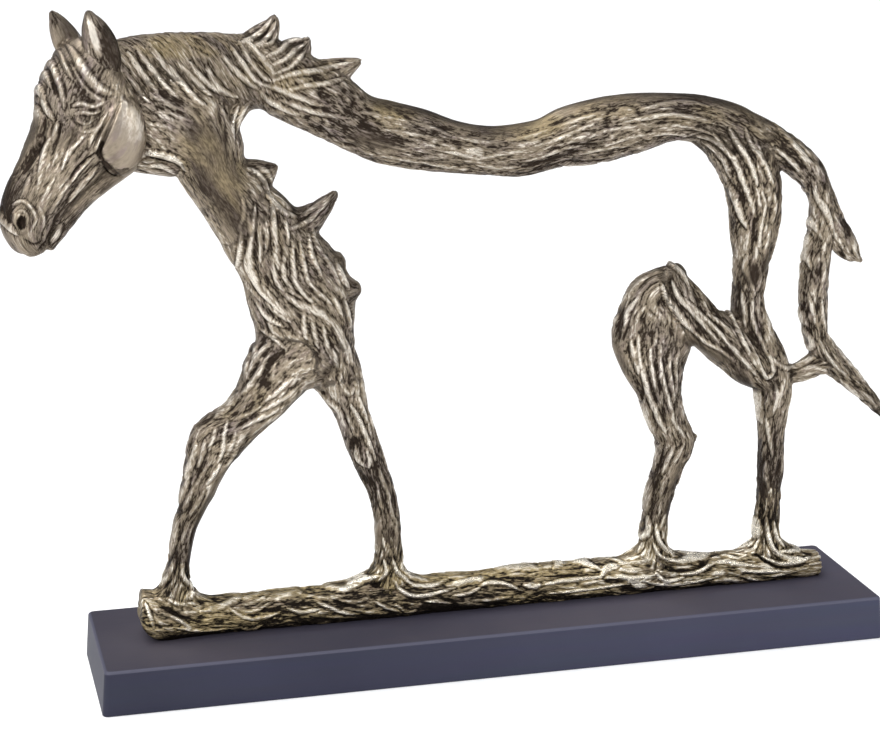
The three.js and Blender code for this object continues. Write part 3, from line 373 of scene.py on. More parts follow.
GOLD_BODY = numbers("""
    -149 284 38 18 -68 0.8; -160 344 34 7 0 0.9; -52 307 16 6 -10 0.9; -62 301 18 4 -8 0.7;
    20 294 26 8 8 0.8; 66 303 28 7 5 0.65; 110 299 26 8 -8 0.6; -136 154 17 9 35 0.7;
    -118 245 7 16 0 0.7; -128 330 14 8 25 0.6; 150 292 30 10 -35 0.5; -100 326 24 8 15 0.7""")

HEAD_TURN = np.radians(13)
POLL_X = -186  # the head turns about the upright line through here
EARS = [dict(base=(-201.5, 333), tip=(-211.5, 364.5), wide=9, deep=6, y=-9, rim=0.5, dish=0.25, lobe=0.35),
        dict(base=(-210.5, 334), tip=(-224.5, 363.5), wide=7.6, deep=5.6, y=9, rim=0.4, dish=0.35, lobe=-0.1)]
# Rounded lumps on both sides of the head: x, z, half width, half height, half depth, y and lean.
CHEEK = dict(x=-199, z=301, wide=12.6, high=20.5, deep=6.5, y=15.5, lean=0.07)
EYE = dict(x=-219.5, z=311.3, wide=4.4, high=3.2, deep=3.6, y=16.8)
NOSTRIL_RIM = dict(x=-250.2, z=261.5, wide=6, high=7.4, deep=3, y=10.2)


# Paths and tubes

def smooth_path(stations, per_span=8):
    """Samples a centripetal Catmull-Rom curve through the stations: on each span a cubic whose end slopes
    come from the neighbours' distances to the power one half. Returns x, y, z, half width and half depth
    of each sample."""
    p = np.array(stations, float)[:, [0, 4, 1, 2, 3]]
    p = np.vstack([2 * p[0] - p[1], p, 2 * p[-1] - p[-2]])
    gap = np.sqrt(np.linalg.norm(np.diff(p[:, :3], axis=0), axis=1))[:, None]
    p0, p1, p2, p3 = p[:-3], p[1:-2], p[2:-1], p[3:]
    g0, g1, g2 = gap[:-2], gap[1:-1], gap[2:]
    m1 = ((p1 - p0) / g0 - (p2 - p0) / (g0 + g1) + (p2 - p1) / g1) * g1
    m2 = ((p2 - p1) / g1 - (p3 - p1) / (g1 + g2) + (p3 - p2) / g2) * g1
    u = (np.arange(per_span) / per_span)[None, :, None]
    a, b, c, d = (k[:, None, :] for k in (p1, m1, 3 * (p2 - p1) - 2 * m1 - m2, 2 * (p1 - p2) + m1 + m2))
    samples = np.vstack([(a + u * (b + u * (c + u * d))).reshape(-1, 5), p[-2]])
    samples[:, 3:] = np.maximum(samples[:, 3:], 0.8)
    return samples


def path_frames(samples):
    """Unit vectors along the path, across it in the side view, and in depth, at each sample."""
    along = np.gradient(samples[:, :3], axis=0)
    along /= np.linalg.norm(along, axis=1)[:, None]
    depth = np.array([0.0, 1.0, 0.0]) - along * along[:, 1:2]
    depth /= np.linalg.norm(depth, axis=1)[:, None]
    return along, np.cross(depth, along), depth


def ring_faces(rings, sides, poles=True):
    """Four-sided faces between stacked rings of points, and fans to a first and a last pole whose points
    follow the rings'. A fan's rows end in -1."""
    ring, side = np.meshgrid(np.arange(rings - 1), np.arange(sides), indexing="ij")
    after = (side + 1) % sides
    quads = np.stack([ring * sides + side, ring * sides + after, (ring + 1) * sides + after,
                      (ring + 1) * sides + side], -1).reshape(-1, 4)
    if not poles:
        return quads
    k = np.arange(sides)
    after, first, last = (k + 1) % sides, k * 0 + rings * sides, (rings - 1) * sides
    return np.vstack([quads, np.stack([first, after, k, k * 0 - 1], 1),
                      np.stack([first + 1, last + k, last + after, k * 0 - 1], 1)])


def tube(stations, sides=40, flat_ends=False):
    """A closed tube: ovals carried along the smooth path, its ends rounded by rings that shrink as the
    cosine while their centres move out as the sine."""
    samples = smooth_path(stations)
    along, across, depth = path_frames(samples)
    swell = np.linspace(0, np.pi / 2, 6)[1:-1]
    reach, power = (0.1, 0.25) if flat_ends else (0.5, 1)

    def cap(end, sign):
        bulge = reach * samples[end, 3:].min()
        rows = np.repeat(samples[end][None], len(swell), 0)
        rows[:, :3] += sign * np.sin(swell)[:, None] * bulge * along[end]
        rows[:, 3:] *= (np.cos(swell) ** power)[:, None]
        return rows, samples[end, :3] + sign * bulge * along[end]

    def at_caps(frames):
        count = len(swell)
        return np.vstack([np.repeat(frames[:1], count, 0), frames, np.repeat(frames[-1:], count, 0)])

    first, first_pole = cap(0, -1)
    last, last_pole = cap(-1, 1)
    rows = np.vstack([first[::-1], samples, last])
    turn = np.arange(sides) / sides * TAU
    points = (rows[:, None, :3]
              + rows[:, 3, None, None] * np.cos(turn)[None, :, None] * at_caps(across)[:, None]
              + rows[:, 4, None, None] * np.sin(turn)[None, :, None] * at_caps(depth)[:, None])
    return np.vstack([points.reshape(-1, 3), first_pole, last_pole]), ring_faces(len(rows), sides)


def oval_ball(x, z, wide, high, deep, y, lean=0.0, columns=32, rows=20):
    """An ellipsoid on a longitude and latitude grid, leaning in the side view."""
    lat = np.linspace(-np.pi / 2, np.pi / 2, rows + 2)[1:-1]
    lon = np.arange(columns) / columns * TAU
    ball = np.stack([np.cos(lat)[:, None] * np.cos(lon), np.cos(lat)[:, None] * np.sin(lon),
                     np.sin(lat)[:, None] * np.ones(columns)], -1).reshape(-1, 3)
    ball = np.vstack([ball, [0, 0, -1], [0, 0, 1]]) * [wide, deep, high]
    leant = ball.copy()
    leant[:, 0] = ball[:, 0] * np.cos(lean) + ball[:, 2] * np.sin(lean)
    leant[:, 2] = -ball[:, 0] * np.sin(lean) + ball[:, 2] * np.cos(lean)
    return leant + [x, y, z], ring_faces(rows, columns)


def mesh_from(name, shells):
    """One mesh from a list of (points, faces) shells. A face row that ends in -1 is a triangle."""
    points, faces, start = [], [], 0
    for shell_points, shell_faces in shells:
        points.append(shell_points)
        faces += [[i + start for i in row if i >= 0] for row in shell_faces.tolist()]
        start += len(shell_points)
    mesh = bpy.data.meshes.new(name)
    mesh.from_pydata((np.vstack(points) * MM).tolist(), [], faces)
    mesh.validate()
    return mesh


def put(name, data, material=None):
    """Links an object at the origin."""
    made = bpy.data.objects.new(name, data)
    bpy.context.scene.collection.objects.link(made)
    if material is not None:
        data.materials.clear()
        data.materials.append(material)
    return made


def settle(piece):
    """Applies the piece's modifiers and returns its new mesh."""
    bpy.context.view_layer.update()
    seen = piece.evaluated_get(bpy.context.evaluated_depsgraph_get())
    mesh = bpy.data.meshes.new_from_object(seen)
    old = piece.data
    piece.modifiers.clear()
    piece.data = mesh
    bpy.data.meshes.remove(old)
    return mesh


def read_vectors(source, key):
    """One vector for each vertex."""
    flat = np.empty(len(source) * 3, np.float32)
    source.foreach_get(key, flat)
    return flat.reshape(-1, 3).astype(float)


def points_of(mesh):
    """Vertex places in millimetres."""
    return read_vectors(mesh.vertices, "co") / MM


def normals_of(mesh):
    return read_vectors(mesh.vertex_normals, "vector")


def set_points(mesh, points):
    mesh.vertices.foreach_set("co", (points * MM).astype(np.float32).ravel())
    mesh.update()


def store(mesh, name, values):
    """Keeps one number or one vector for each vertex as an attribute."""
    kind, key = ("FLOAT", "value") if values.ndim == 1 else ("FLOAT_VECTOR", "vector")
    layer = mesh.attributes.new(name, kind, "POINT")
    layer.data.foreach_set(key, values.astype(np.float32).ravel())


# Noise and strands

def ease(x, low, high):
    """0 below low, 1 above high, smooth between."""
    t = np.clip((x - low) / (high - low), 0, 1)
    return t * t * (3 - 2 * t)


def chance(*keys):
    """A repeatable number from 0 to 1 for each row of whole-number keys."""
    total = sum(k * f for k, f in zip(keys, (12.9898, 78.233, 37.719, 93.989)))
    value = np.sin(total) * 43758.5453
    return value - np.floor(value)


def cloud(p, seed=0):
    """Smooth value noise from 0 to 1: random numbers at whole coordinates, eased between them."""
    cell = np.floor(p)
    f = p - cell
    f = f * f * (3 - 2 * f)
    total = 0
    for corner in np.ndindex(2, 2, 2):
        x, y, z = (f[:, i] if up else 1 - f[:, i] for i, up in enumerate(corner))
        total = total + x * y * z * chance(*(cell + corner).T, seed + 0 * cell[:, 0])
    return total


# Strands of three sizes: lane width, length, lane shift, seed shift, share of places filled, and height.
STRANDS = [(5, 46, 0, 0, 0.8, 1), (3, 26, 31, 7, 0.9, 0.82), (1.9, 13, 57, 13, 1, 0.6)]


def strand_field(s, lanes, length, seed, share):
    """Overlapping tapered strands. `lanes` counts strands sideways; each lane is cut into lengths that
    start at random, lean sideways, rise as a parabola across and taper as the root of a sine along."""
    base = np.floor(lanes)
    run = s / length + chance(base, seed + 0 * base)
    piece = np.floor(run)
    along = run - piece
    across = lanes - base - 0.5 + 0.5 * (along - 0.5) * (chance(base, piece, seed + 1) - 0.5)
    there = chance(base, piece, seed + 3) < share
    rise = there * (0.5 + 0.5 * chance(base, piece, seed + 2))
    taper = np.sqrt(np.clip(np.sin(np.pi * along), 0, 1))
    return rise * np.clip(1 - (2 * across) ** 2, 0, 1) ** 0.75 * taper


def strand_relief(run, wide, place, seed, sway, bark):
    """Three sizes of strand laid over one another; the highest shows. Noise bends the lanes and thins them
    out. Bark, from 0 to 1, shortens the strands, deepens them and eats pits between them."""
    bend = (5.5 + 2 * bark) * (cloud(place / 11, seed) - 0.5)
    bend = bend + (2 + 2 * bark) * (cloud(place / 4.5, seed + 1) - 0.5)
    lane = wide + bend + sway
    short = 1 - 0.45 * bark
    highest = 0
    for width, length, shift, more, share, height in STRANDS:
        strands = strand_field(run, lane / width + shift, length * short, seed + more, share)
        highest = np.maximum(highest, height * strands)
    depth = (0.6 + 0.8 * cloud(place / 16, seed + 2)) * (1 + 0.25 * bark)
    slits = place * [0.5, 1, 1]
    pits = ease(cloud(slits / 1.6, seed + 5), 0.6, 0.85)
    pits = pits + 0.5 * ease(cloud(slits / 3.4, seed + 6), 0.64, 0.85)
    return (1.75 * highest - 0.75) * depth - (0.3 + 0.5 * bark) * pits


class Guide:
    """A limb's path with its frames, used to find where a point lies along and round it."""

    def __init__(self, stations, limb, seed):
        self.stations = stations
        self.samples = smooth_path(stations, 6)
        self.along, self.across, self.depth = path_frames(self.samples)
        step = np.linalg.norm(np.diff(self.samples[:, :3], axis=0), axis=1)
        self.run = np.concatenate([[0], np.cumsum(step)])
        self.radius = np.sqrt(self.samples[:, 3] * self.samples[:, 4]).mean()
        self.seed = seed
        self.twist = limb["twist"]
        self.bark = limb.get("bark", 0.8)
        self.relief = mane_relief if limb.get("style") == "mane" else limb_relief

    def locate(self, points, block=20000):
        """For each point: distance from the skin, run along the path and turn round it (0 to 1)."""
        nearest = np.empty(len(points), int)
        for start in range(0, len(points), block):
            part = points[start:start + block]
            far = ((part[:, None, :] - self.samples[None, :, :3]) ** 2).sum(-1)
            nearest[start:start + block] = far.argmin(1)
        off = points - self.samples[nearest, :3]
        ahead = (off * self.along[nearest]).sum(1)
        a = (off * self.across[nearest]).sum(1) / self.samples[nearest, 3]
        b = (off * self.depth[nearest]).sum(1) / self.samples[nearest, 4]
        beyond = np.clip(np.abs(ahead) - 4, 0, None)
        skin = (np.hypot(a, b) - 1) * self.samples[nearest, 3:].min(1) + beyond
        run = self.run[nearest] + ahead
        return skin, run, np.arctan2(b, a) / TAU - self.twist * run / self.run[-1]


def guides_for(limbs, first_seed=1):
    """One guide for each limb, or one for each of its flows where its strands don't follow its path."""
    guides = []
    for limb in limbs:
        for flow in limb.get("flows", [limb["stations"]]):
            guides.append(Guide(flow, limb, first_seed + len(guides)))
    return guides


def limb_relief(guide, run, turn):
    """Height of the carved strands on a limb in millimetres, and its grain coordinates: the run along the
    path, and two that go round it."""
    seed, radius = guide.seed, guide.radius
    place = np.stack([0.4 * run + 70 * seed, radius * np.cos(turn * TAU), radius * np.sin(turn * TAU)], 1)
    sway = 3.2 * np.sin(TAU * (run / 83 + 0.13 * seed)) + 1.6 * np.sin(TAU * (run / 37 + 0.37 * seed))
    height = strand_relief(run, np.mod(turn, 1) * TAU * radius, place, seed, sway, guide.bark)
    return height, place * [2.5, 1, 1]


def mane_relief(guide, run, turn):
    """On the crest the lanes are counted down from the top line, alike on both sides, and slip along the
    limb by the sum of the tangent of their slant: 50 degrees by the ears, none where the back begins."""
    x = guide.samples[:, 0]
    slant = np.radians(50) * (1 - ease(x, -130, -88))
    step = np.diff(guide.run, prepend=0)
    slip = np.interp(run, guide.run, np.cumsum(np.tan(slant) * step))
    length = np.interp(run, guide.run, np.cumsum(step / np.cos(slant)))
    wide = guide.radius * np.pi * (1 - 2 * np.abs(turn)) - slip
    place = np.stack([0.4 * length, wide, 0 * wide], 1)
    sway = 2.4 * np.sin(TAU * length / 47) + 1.2 * np.sin(TAU * length / 21)
    bark = guide.bark * ease(np.interp(run, guide.run, x), -110, -60)
    return strand_relief(length, wide, place, guide.seed, sway, bark), place * [2.5, 1, 1]


def carved_fields(points, guides):
    """Blends the limbs' relief by how near each skin is, and takes the grain of the nearest one."""
    total, weight, best = np.zeros(len(points)), np.zeros(len(points)), np.full(len(points), 1e9)
    grain = np.zeros((len(points), 3))
    for guide in guides:
        margin = guide.samples[:, 3:].max() + 6
        low = guide.samples[:, :3].min(0) - margin
        high = guide.samples[:, :3].max(0) + margin
        near = np.where(np.all((points > low) & (points < high), axis=1))[0]
        if not len(near):
            continue
        skin, run, turn = guide.locate(points[near])
        skin = np.abs(skin)
        height, flow = guide.relief(guide, run, turn)
        share = np.exp(-np.clip(skin, 0, 30) / 1.3)
        total[near] += share * height
        weight[near] += share
        closer = skin < best[near]
        best[near[closer]] = skin[closer]
        grain[near[closer]] = flow[closer]
    return total / np.maximum(weight, 1e-9), grain


def stroke_fields(points, strokes):
    """Strokes drawn in the side view, on both faces. Each follows a smooth path through its x, z pairs; its
    half width grows from a third at the ends as the root of a sine, and it lifts the skin as a parabola
    across, with a narrow furrow beside it. Returns the lift and how far the strokes cover what is under
    them (0 to 1)."""
    lift, furrow, cut, cover = np.zeros((4, len(points)))
    flat = points[:, [0, 2]]
    for half, height, *pairs in strokes:
        line = smooth_path([[x, z, 1, 1, 0] for x, z in zip(pairs[::2], pairs[1::2])], 5)[:, [0, 2]]
        wide = half * (0.35 + 0.65 * np.sqrt(np.sin(np.pi * np.linspace(0, 1, len(line))).clip(0, 1)))
        low, high = line.min(0) - 2 * half, line.max(0) + 2 * half
        near = np.where(np.all((flat > low) & (flat < high), axis=1))[0]
        if not len(near):
            continue
        p = flat[near][:, None]
        a, b = line[None, :-1], line[None, 1:]
        t = np.clip(((p - a) * (b - a)).sum(-1) / ((b - a) ** 2).sum(-1), 0, 1)
        gap = np.linalg.norm(p - a - t[..., None] * (b - a), axis=-1)
        width = wide[None, :-1] * (1 - t) + wide[None, 1:] * t
        pick = (np.arange(len(near)), (gap / width).argmin(1))
        ratio = gap[pick] / width[pick]
        rise = abs(height) * width[pick] / half * np.clip(1 - ratio ** 2, 0, 1)
        if height < 0:
            cut[near] = np.maximum(cut[near], rise)
            continue
        lift[near] = np.maximum(lift[near], rise)
        furrow[near] = np.maximum(furrow[near], 0.5 * height * np.exp(-((ratio - 1.3) / 0.25) ** 2))
        cover[near] = np.maximum(cover[near], 1 - ease(ratio, 1.25, 1.8))
    return lift - furrow * np.clip(1 - lift / 0.35, 0, 1) - cut, cover


def spots(points, rows):
    """How far inside the nearest leaning oval each point lies (0 to 1), and that oval's value."""
    inside, value = np.zeros((2, len(points)))
    for x, z, along, across, lean, own in rows:
        c, s = np.cos(np.radians(lean)), np.sin(np.radians(lean))
        dx, dz = points[:, 0] - x, points[:, 2] - z
        share = 1 - ease(np.hypot((dx * c + dz * s) / along, (dz * c - dx * s) / across), 0.55, 1.15)
        value = np.where(share > inside, own, value)
        inside = np.maximum(inside, share)
    return inside, value


# Materials

class Wiring:
    """Adds nodes to one tree. What is handed to a socket is another node's output or a constant."""

    def __init__(self, tree):
        self.tree = tree

    def feed(self, sockets, **values):
        """Links or sets sockets by name, with underscores for the spaces in their names."""
        for key, value in values.items():
            self.fill(sockets[key.replace("_", " ")], value)

    def fill(self, socket, value):
        if isinstance(value, bpy.types.NodeSocket):
            self.tree.links.new(value, socket)
        else:
            socket.default_value = (*value, 1) if socket.type == "RGBA" else value

    def add(self, kind, settings=(), **sockets):
        made = self.tree.nodes.new(kind)
        count = len(self.tree.nodes)
        made.location = (220 * (count % 8) - 1800, 800 - 280 * (count // 8))
        for key, value in dict(settings).items():
            setattr(made, key, value)
        self.feed(made.inputs, **sockets)
        return made.outputs

    def maths(self, kind, a, b, clamp=False):
        made = self.tree.nodes.new("ShaderNodeMath")
        made.operation, made.use_clamp = kind, clamp
        self.fill(made.inputs[0], a)
        self.fill(made.inputs[1], b)
        return made.outputs[0]

    def times(self, a, b):
        return self.maths("MULTIPLY", a, b)

    def plus(self, a, b, clamp=False):
        return self.maths("ADD", a, b, clamp)

    def noise(self, vector, detail, scale=1.0, roughness=0.5):
        return self.add("ShaderNodeTexNoise", Vector=vector, Scale=scale, Detail=detail,
                        Roughness=roughness)["Fac"]

    def stretched(self, vector, scale):
        return self.add("ShaderNodeMapping", Vector=vector, Scale=scale)[0]

    def eased(self, value, low, high):
        """0 at low, 1 at high, smooth between."""
        return self.add("ShaderNodeMapRange", dict(interpolation_type="SMOOTHSTEP"), Value=value,
                        From_Min=low, From_Max=high)[0]

    def ranged(self, value, low, high, to_low, to_high):
        """A straight line from to_low at low to to_high at high."""
        return self.add("ShaderNodeMapRange", Value=value, From_Min=low, From_Max=high, To_Min=to_low,
                        To_Max=to_high)[0]

    def blend(self, factor, a, b, kind="MIX"):
        return self.add("ShaderNodeMix", dict(data_type="RGBA", blend_type=kind), Factor=factor, A=a,
                        B=b)["Result"]

    def stored(self, name, output="Fac"):
        return self.add("ShaderNodeAttribute", dict(attribute_name=name))[output]


def new_material(name):
    """A material, its wiring and its shader's inputs."""
    material = bpy.data.materials.new(name)
    material.use_nodes = True
    return material, Wiring(material.node_tree), material.node_tree.nodes["Principled BSDF"].inputs


def carved_metal_group():
    """Streaks of cast metal along the strands: bright worn ridges, brown patina in the grooves."""
    group = bpy.data.node_groups.new("carved strands", "ShaderNodeTree")
    sockets = (("INPUT", "Vector", "Grain"), ("INPUT", "Float", "Relief, Plain, Gold"),
               ("INPUT", "Color", "Ridge colour, Middle colour, Groove colour, Gold colour, Dusk colour"),
               ("OUTPUT", "Color", "Colour"), ("OUTPUT", "Float", "Roughness, Metallic, Height"))
    for way, kind, names in sockets:
        for name in names.split(", "):
            group.interface.new_socket(name, in_out=way, socket_type="NodeSocket" + kind)
    w = Wiring(group)
    given = w.add("NodeGroupInput")

    def grained(*scale):
        return w.stretched(given["Grain"], scale)

    broad = w.noise(grained(0.09, 0.5, 0.5), detail=3, roughness=0.6)
    streak = w.noise(grained(0.3, 1.15, 1.15), detail=4, roughness=0.65)
    cell = w.add("ShaderNodeTexVoronoi", dict(feature="DISTANCE_TO_EDGE"), Vector=grained(0.15, 0.7, 0.7),
                 Scale=1.0)["Distance"]
    patch = w.noise(grained(0.025, 0.075, 0.075), detail=2)
    speck = w.noise(grained(0.6, 1.1, 1.1), detail=3, roughness=0.6)
    carved = w.plus(w.times(w.eased(streak, 0.38, 0.62), 0.45), w.times(w.eased(broad, 0.33, 0.66), 0.3))
    carved = w.plus(carved, w.times(w.eased(cell, 0, 0.22), 0.25))
    # Plain places keep a quarter of the carving.
    keep = w.plus(1.0, w.times(given["Plain"], -0.75))
    fine = w.times(w.plus(carved, -0.55), keep)
    # The tone runs from 0 in the grooves to 1 on the ridges. Broad patches lie darker or lighter.
    streaked = w.plus(w.times(fine, 0.75), w.times(w.plus(patch, -0.6), 0.7))
    tone = w.plus(w.times(given["Relief"], 1.12), streaked, clamp=True)
    blotch = w.times(given["Gold"], w.eased(patch, 0.3, 0.6))
    dusky = w.blend(w.eased(broad, 0.45, 0.75), given["Middle colour"], given["Dusk colour"])
    middle = w.blend(blotch, dusky, given["Gold colour"])
    worn = w.blend(w.eased(tone, 0, 0.46), given["Groove colour"], middle)
    bright = w.blend(w.times(blotch, 0.45), given["Ridge colour"], given["Gold colour"])
    rub = w.times(w.plus(speck, -0.5), keep)
    w.feed(group.nodes.new("NodeGroupOutput").inputs,
           Colour=w.blend(w.eased(tone, 0.46, 0.9), worn, bright),
           Roughness=w.plus(0.5, w.times(tone, -0.23)),
           Metallic=w.plus(0.88, w.times(tone, 0.3), clamp=True),
           Height=w.plus(fine, w.times(rub, 0.9)))
    return group


def cast_metal(name, bump, **colours):
    """A metal that wears the strand group with its own colours and reads the stored relief."""
    material, w, shader = new_material(name)
    carve = w.add("ShaderNodeGroup", dict(node_tree=STRAND_GROUP), Grain=w.stored("grain", "Vector"),
                  Relief=w.stored("relief"), Plain=w.stored("plain"), Gold=w.stored("gold"), **colours)
    normal = w.add("ShaderNodeBump", Strength=1.0, Distance=bump, Height=carve["Height"])["Normal"]
    w.feed(shader, Base_Color=carve["Colour"], Roughness=carve["Roughness"], Metallic=carve["Metallic"],
           Normal=normal)
    return material


def painted_board():
    """Satin charcoal paint: faint brushed grain along the board, paler to the right, with clouded gloss,
    painted light on the top face and a painted highlight along the arrises."""
    material, w, shader = new_material("charcoal_paint")
    here = w.add("ShaderNodeTexCoord")["Object"]
    grain = w.add("ShaderNodeTexNoise", Vector=w.stretched(here, (9, 160, 160)), Scale=1.0, Detail=5,
                  Roughness=0.6)
    clouds = w.noise(here, detail=4, scale=14)
    pores = w.noise(here, detail=2, scale=900)
    lighter_to_right = w.ranged(w.add("ShaderNodeSeparateXYZ", Vector=here)["X"], -0.22, 0.22, 0.1, 0.66)
    paint = w.blend(w.plus(w.times(clouds, 0.35), lighter_to_right), (0.011, 0.0115, 0.024), (0.050, 0.052, 0.090))
    brushed = w.blend(0.22, paint, grain["Color"], "MULTIPLY")
    # Painted light on the top face, broken by the clouds.
    lit_top = w.blend(w.times(w.stored("painted_top_light"), clouds), brushed, (0.070, 0.060, 0.068))
    skin = w.plus(w.times(pores, 0.35), grain["Fac"])
    # Painted highlight along the rounded arrises.
    w.feed(shader, Base_Color=w.blend(w.stored("arris"), lit_top, (0.085, 0.084, 0.115)),
           Roughness=w.ranged(clouds, 0, 1, 0.46, 0.64), Specular_IOR_Level=0.22,
           Normal=w.add("ShaderNodeBump", Strength=0.35, Distance=0.00012, Height=skin)["Normal"])
    return material


STRAND_GROUP = carved_metal_group()
CHAMPAGNE = cast_metal(
    "champagne_aluminium", 0.0006, Ridge_colour=(0.76, 0.70, 0.61), Middle_colour=(0.285, 0.24, 0.19),
    Groove_colour=(0.028, 0.019, 0.013), Gold_colour=(0.33, 0.26, 0.145), Dusk_colour=(0.22, 0.175, 0.165))
GOLDEN = cast_metal(
    "golden_aluminium", 0.00045, Ridge_colour=(0.92, 0.86, 0.74), Middle_colour=(0.25, 0.203, 0.138),
    Groove_colour=(0.013, 0.009, 0.006), Gold_colour=(0.42, 0.33, 0.17), Dusk_colour=(0.19, 0.14, 0.11))


# The casting

def fused(name, shells, voxel, smooth_steps):
    """Joins overlapping shells into one skin on a voxel grid and eases the creases."""
    piece = put(name, mesh_from(name, shells))
    skin = piece.modifiers.new("one skin", "REMESH")
    skin.mode = "VOXEL"
    skin.voxel_size = voxel * MM
    ease_creases = piece.modifiers.new("ease creases", "SMOOTH")
    ease_creases.factor = 0.5
    ease_creases.iterations = smooth_steps
    settle(piece)
    return piece


def thin_out(piece, most):
    """Collapses edges until the piece has at most that many triangles."""
    piece.data.calc_loop_triangles()
    triangles = len(piece.data.loop_triangles)
    if triangles > most:
        spare = piece.modifiers.new("thin out", "DECIMATE")
        spare.ratio = most / triangles
        spare.use_collapse_triangulate = True
        settle(piece)
    piece.data.shade_smooth()


def darkening_and_foot_shade(points):
    """How much darker than its own grooves say a place is: the lower legs, though less the near hind one,
    the haunch, and the foot of the log, where the darkening is painted shade along the board."""
    x, _, z = points.T
    dark = 0.3 * ease(z, 50, 62) * (1 - ease(z, 92, 122)) * cloud(points / 9, 3) ** 0.5
    dark = dark * (1 - 0.4 * ease(x, 60, 80) * (1 - ease(x, 120, 140)))
    dark = dark + 0.07 * ease(x, 105, 125) * (1 - ease(x, 166, 176)) * ease(z, 130, 145)
    # Painted shade along the foot of the log, where it meets the board.
    return dark + 0.5 * (1 - ease(z, 25, 34)) + 0.06 * (1 - ease(z, 40, 50))


def finish_casting(piece, guides, material, strokes, smooth_and_painted_light, gold, most, strength=1.0, extra=None, calm=0.0,
                   span=2.5):
    """Carves strands and strokes into the skin, thins it, and stores what the material reads. The casting's
    edges, where the skin turns away from the two faces, are left smoother. `span` is the height in
    millimetres from the darkest groove to the brightest ridge."""
    points, normals = points_of(piece.data), normals_of(piece.data)
    height, _ = carved_fields(points, guides)
    lift, cover = stroke_fields(points, strokes)
    lift = lift * (0.62 + 0.62 * cloud(points / 3.1, 9))
    plain, tone = smooth_and_painted_light(points, normals)
    edge = 0.4 * (1 - ease(np.abs(normals[:, 1]), 0.1, 0.5))
    height = strength * height * (1 - 0.9 * plain) * (1 - edge) * (1 - 0.72 * cover) + lift
    if extra is not None:
        height = height + extra(points, normals)
    moved = points + normals * height[:, None]
    moved[:, 2] = np.maximum(moved[:, 2], BOARD["thick"] - 0.001)  # flat underneath
    set_points(piece.data, moved)
    x, _, z = points.T
    span = span * (1 - 0.26 * ease(x, -10, 100) * (1 - ease(z, 48, 60)))
    # Darker places, with painted shade at the log's foot, come off the relief tone.
    relief = np.clip((height + 0.95) / span - darkening_and_foot_shade(points), 0, 1)
    # On smooth places the tone is mostly painted shade, with a painted highlight on the ear's rim.
    tone = np.clip(tone + 0.3 * (relief - 0.38), 0, 1)
    store(piece.data, "relief", relief * (1 - plain) + tone * plain)
    thin_out(piece, most)
    mesh = piece.data
    points, normals = points_of(mesh), normals_of(mesh)
    store(mesh, "grain", carved_fields(points, guides)[1])
    store(mesh, "plain", np.maximum(smooth_and_painted_light(points, normals)[0], calm))
    store(mesh, "gold", gold(points))
    mesh.materials.clear()
    mesh.materials.append(material)


def body_smooth_and_shade(points, normals):
    """The rubbed places of the body, whose tones are mostly painted shade, and the smooth band along the top
    of the back, which gets painted shade where it faces up.
    """
    inside, tone = spots(points, SMOOTH_AND_SHADED_BODY)
    x, _, z = points.T
    # Painted shade on the smooth top band of the back, where its faces look up.
    shaded_top_band = ease(normals[:, 2], 0.5, 0.85) * ease(x, -84, -60) * (1 - ease(x, 150, 175)) * ease(z, 270, 280)
    return np.maximum(inside, 0.95 * shaded_top_band), np.where(shaded_top_band > inside, 0.25, tone)


def body_gold(points):
    """A golden tint of 0.3 all over, and more on the listed places."""
    return np.maximum(0.3, np.prod(spots(points, GOLD_BODY), 0))


def log_smooth_and_shade(points, normals):
    """The underside of the log's left end is smooth, with painted shade."""
    return spots(points, SMOOTH_AND_SHADED_LOG)


def log_gold(points):
    """The log is golden, less so to the right, and the feet fade into the legs' colour."""
    x, _, z = points.T
    return 0.1 + (0.75 - 0.4 * ease(x, 0, 120)) * (1 - ease(z, 42, 62))


body_parts = list(LIMBS.values()) + [dict(twist=0.1, bark=0.2, stations=t) for t in TUFTS]
body = fused("casting_body", [tube(part["stations"]) for part in body_parts], voxel=0.85, smooth_steps=12)
body_guides = guides_for(body_parts)
finish_casting(body, body_guides, CHAMPAGNE, BODY_STROKES, body_smooth_and_shade, body_gold, most=195000)


def foot(stations):
    """The end of a leg as the log's skin: it starts just under the leg's own skin and then covers it."""
    growth = (-0.8, 0.35, 0.5, 0.5)
    return tube([[x, z, wide + more, deep + more, y]
                 for (x, z, wide, deep, y), more in zip(stations[-len(growth):], growth)])


def cut_end(shell):
    """Rounds the lower corner of the log's left end back by 10 mm."""
    points, faces = shell
    points[:, 0] += 10 * ease(-points[:, 0], 172, 194) * np.clip((36 - points[:, 2]) / 11, 0, 1) ** 2
    return points, faces


FEET = [LIMBS[name]["stations"] for name in ("near_fore", "far_fore", "thigh", "rump")]
log_shells = [cut_end(tube(LOG["stations"], flat_ends=True))] + [foot(leg) for leg in FEET]
log = fused("casting_log", log_shells + [tube(root) for root in ROOTS], voxel=0.75, smooth_steps=8)
leg_guides = [guide for guide in body_guides if any(
    np.allclose(guide.samples[-1, [0, 2]], leg[-1][:2]) for leg in FEET)]
low_strokes = [row for row in BODY_STROKES if min(row[3::2]) < 62]
finish_casting(log, guides_for([LOG], 41) + leg_guides, GOLDEN, LOG_STROKES + low_strokes, log_smooth_and_shade,
               log_gold, most=160000, strength=1.05, span=2.1)


# Head

def turned(points):
    """Turns the head's points about the upright line through the poll, keeping their reach in the side
    view."""
    out = points.copy()
    x = (points[:, 0] - POLL_X) / np.cos(HEAD_TURN)
    out[:, 0] = POLL_X + x * np.cos(HEAD_TURN) - points[:, 1] * np.sin(HEAD_TURN)
    out[:, 1] = x * np.sin(HEAD_TURN) + points[:, 1] * np.cos(HEAD_TURN)
    return out


